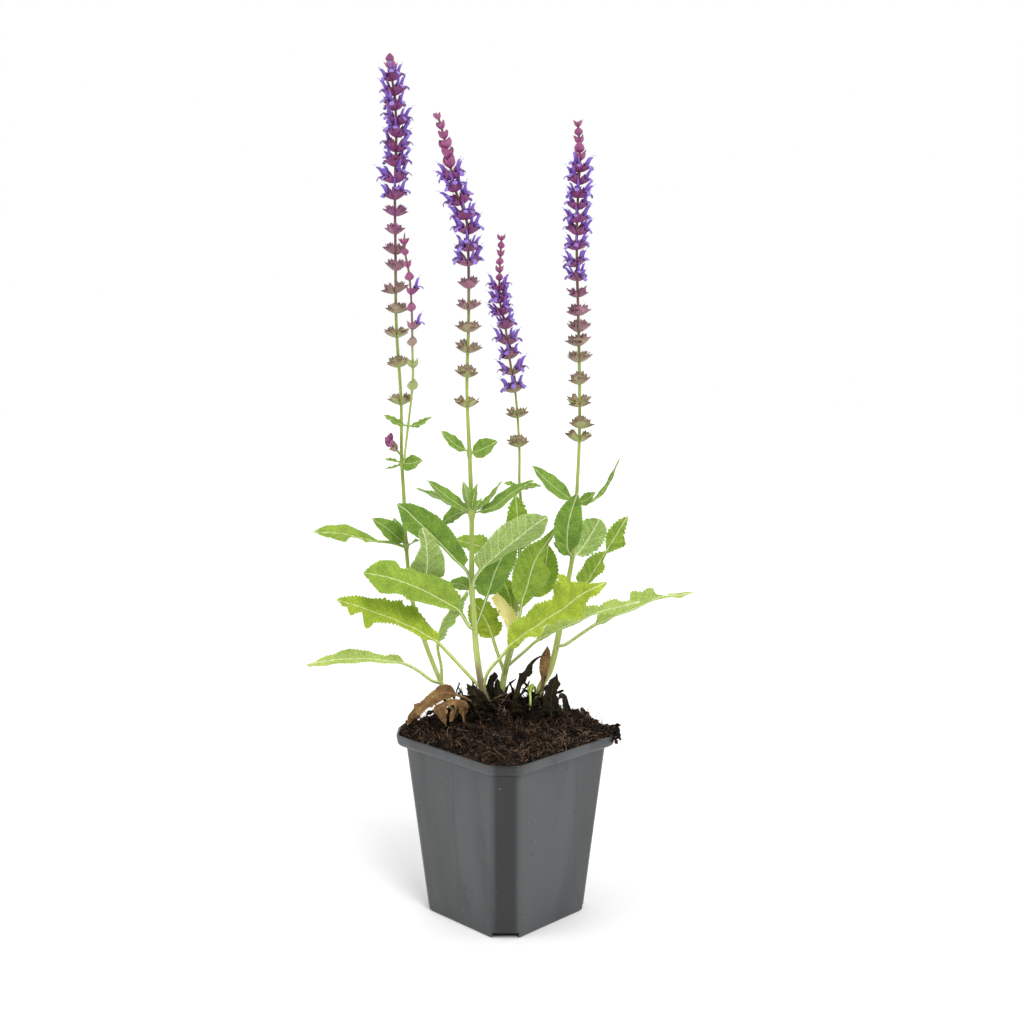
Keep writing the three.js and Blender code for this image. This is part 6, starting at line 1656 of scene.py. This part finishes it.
def corolla_finish():
    """Deep violet at the tube, bluer and lighter towards the tips, and paler on the lip."""
    petal = Finish("petal", Roughness=0.5, Specular_IOR_Level=0.3, Sheen_Weight=0.2)
    _, luck, _ = petal.split(petal.mark("mood"))
    along = petal.mark("along", "Fac")
    grain = petal.noise(petal.spot(), 1800, 2)
    colour = petal.mix(petal.step(along, 0.1, 0.95), tone("#6a40aa"), tone("#8a6cd0"))
    colour = petal.glaze(petal.mark("lip", "Fac"), 0.5, colour, tone("#ab97e6"))
    colour = petal.glaze(luck, 0.5, colour, tone("#8452b8"))
    return petal.wear(Base_Color=colour, Normal=petal.bump(grain, 0.00015, 0.5))


calyx_skin, bract_skin, petal_skin = calyx_finish(), bract_finish(), corolla_finish()
print("flower finishes:", [skin.name for skin in (calyx_skin, bract_skin, petal_skin)])

# %% Rings of a spike
FLORET_FAN = (-46, 0, 46)  # degrees of the three florets over a bract
MIDDLE_LIFT = 8  # degrees by which the middle floret stands higher
FLORET_SIZES = (0.82, 1.08)
OPEN_SHARE = 0.92  # of the florets among the flowers that have a corolla
RISES = {"spent": (40, 24), "flowers": (38, 30), "buds": (60, 44)}  # degrees of florets and bracts
RING_SIZES = {"spent": (1.1, 0.9), "flowers": (1.08, 0.9), "buds": (1.0, 0.66)}  # at the foot and at the tip
PRESENT = {"spent": 0.88, "flowers": 1.0, "buds": 1.0}  # share of the florets that are still there
BRACT_SIZES = {"spent": 1.12, "flowers": 0.98, "buds": 0.98}
BUD_SIZE = 0.96


def aimed(azimuth, rise, roll, lean):
    """Turns that point X at an azimuth and up by a rise, in degrees, rolled about X, then leaned with the
    spike: the lean is the least turn that takes Z to the spike's own direction."""
    a, r, q = (np.radians(value) for value in (azimuth, rise, roll))
    zero, one = np.zeros(len(lean)), np.ones(len(lean))
    about_x = np.array([[one, zero, zero], [zero, np.cos(q), -np.sin(q)], [zero, np.sin(q), np.cos(q)]])
    about_y = np.array([[np.cos(r), zero, -np.sin(r)], [zero, one, zero], [np.sin(r), zero, np.cos(r)]])
    about_z = np.array([[np.cos(a), -np.sin(a), zero], [np.sin(a), np.cos(a), zero], [zero, zero, one]])
    z = np.array([0.0, 0.0, 1.0])
    axis = np.cross(z, lean)
    cross = np.zeros((len(lean), 3, 3))
    cross[:, 0, 1], cross[:, 0, 2], cross[:, 1, 2] = -axis[:, 2], axis[:, 1], -axis[:, 0]
    cross -= cross.transpose(0, 2, 1)
    tilt = np.eye(3) + cross + cross @ cross / (1 + lean @ z)[:, None, None]
    about_x, about_y, about_z = (m.transpose(2, 0, 1) for m in (about_x, about_y, about_z))
    return tilt @ about_z @ about_y @ about_x


def spike_rings(name):
    """All rings of a spike from the foot up: height, zone, azimuth, size and age. Each is turned by a quarter
    from the one below. The chain of buds may start with a turn of its own, and taper to the tip."""
    spike, rings = SPIKES[name], []
    low, high = STEMS[name]["spike_z"], STEMS[name]["path"][-1][2]
    azimuth = spike["turn"]
    for zone, (big, small) in RING_SIZES.items():
        for number, z in enumerate(spike[zone]):
            share = (z - low) / (high - low)
            extra = spike[zone + "_size"]
            if zone == "buds":
                azimuth += spike["buds_turn"] * (number == 0)
                extra *= 1 - spike["buds_taper"] * number / len(spike["buds"])
            rings.append((z, zone, azimuth, extra * (big + (small - big) * share), 1 - share))
            azimuth += 90
    return rings


def spike_parts(name):
    """The bracts, buds, calyces and corollas of a spike, each kind as one joined form. Each is put down as a
    row of its ring's number, azimuth, rise and size, and then all rows of a kind are copied at once."""
    rings = spike_rings(name)
    heights, ages = (np.array([ring[i] for ring in rings]) for i in (0, 4))
    place, ahead = at_height(STEMS[name]["path"], heights)
    rows = {kind: [] for kind in TEMPLATES}
    for k, (_, zone, azimuth, size, _) in enumerate(rings):
        floret_rise, bract_rise = RISES[zone]
        for side in (azimuth, azimuth + 180):
            aim, rise = side + rng.normal(0, 4), bract_rise + rng.normal(0, 4)
            rows["bract"].append((k, aim, rise, size * BRACT_SIZES[zone]))
            if zone == "buds":
                rows["bud"].append((k, side, bract_rise + rng.normal(0, 4), size * BUD_SIZE))
                continue
            for step in FLORET_FAN:
                aim = side + step + rng.normal(0, 8)
                rise = floret_rise + MIDDLE_LIFT * (step == 0) + rng.normal(0, 7)
                floret = (k, aim, rise, size * rng.uniform(*FLORET_SIZES))
                if rng.uniform() > PRESENT[zone]:
                    continue
                rows["calyx"].append(floret)
                if zone == "flowers" and rng.uniform() < OPEN_SHARE:
                    rows["corolla"].append(floret)
    for z, azimuth in SPIKES[name]["open"]:
        k = int(np.argmin(np.abs(heights - z)))
        rows["calyx"].append((k, azimuth, 50, 0.8))
        rows["corolla"].append((k, azimuth, 50, 0.9))
    parts = {}
    for kind, template in TEMPLATES.items():
        if rows[kind]:
            ring, aim, rise, size = np.array(rows[kind]).T
            ring = ring.astype(int)
            turns = aimed(aim, rise, rng.normal(0, 8, len(ring)), ahead[ring])
            mood = np.column_stack([ages[ring], rng.uniform(size=len(ring)), size])
            parts[kind] = copies(template, turns, place[ring], size, {"mood": mood})
    return parts


for name, spike in SPIKES.items():
    parts = spike_parts(name)
    closed = join([parts["bract"], parts["bud"]])
    piece(f"spike_{name}_bracts", closed, [bract_skin], [f"spike_{name}_buds"])
    for kind, zone, skin, slot in (("calyx", "spent", calyx_skin, "calyx_spent"),
                                   ("corolla", "flowers", petal_skin, "petal_violet")):
        if kind in parts:
            stands_for = [f"spike_{name}_{zone}"] if spike[zone] else []
            piece(f"spike_{name}_{kind}", parts[kind], [skin], stands_for)
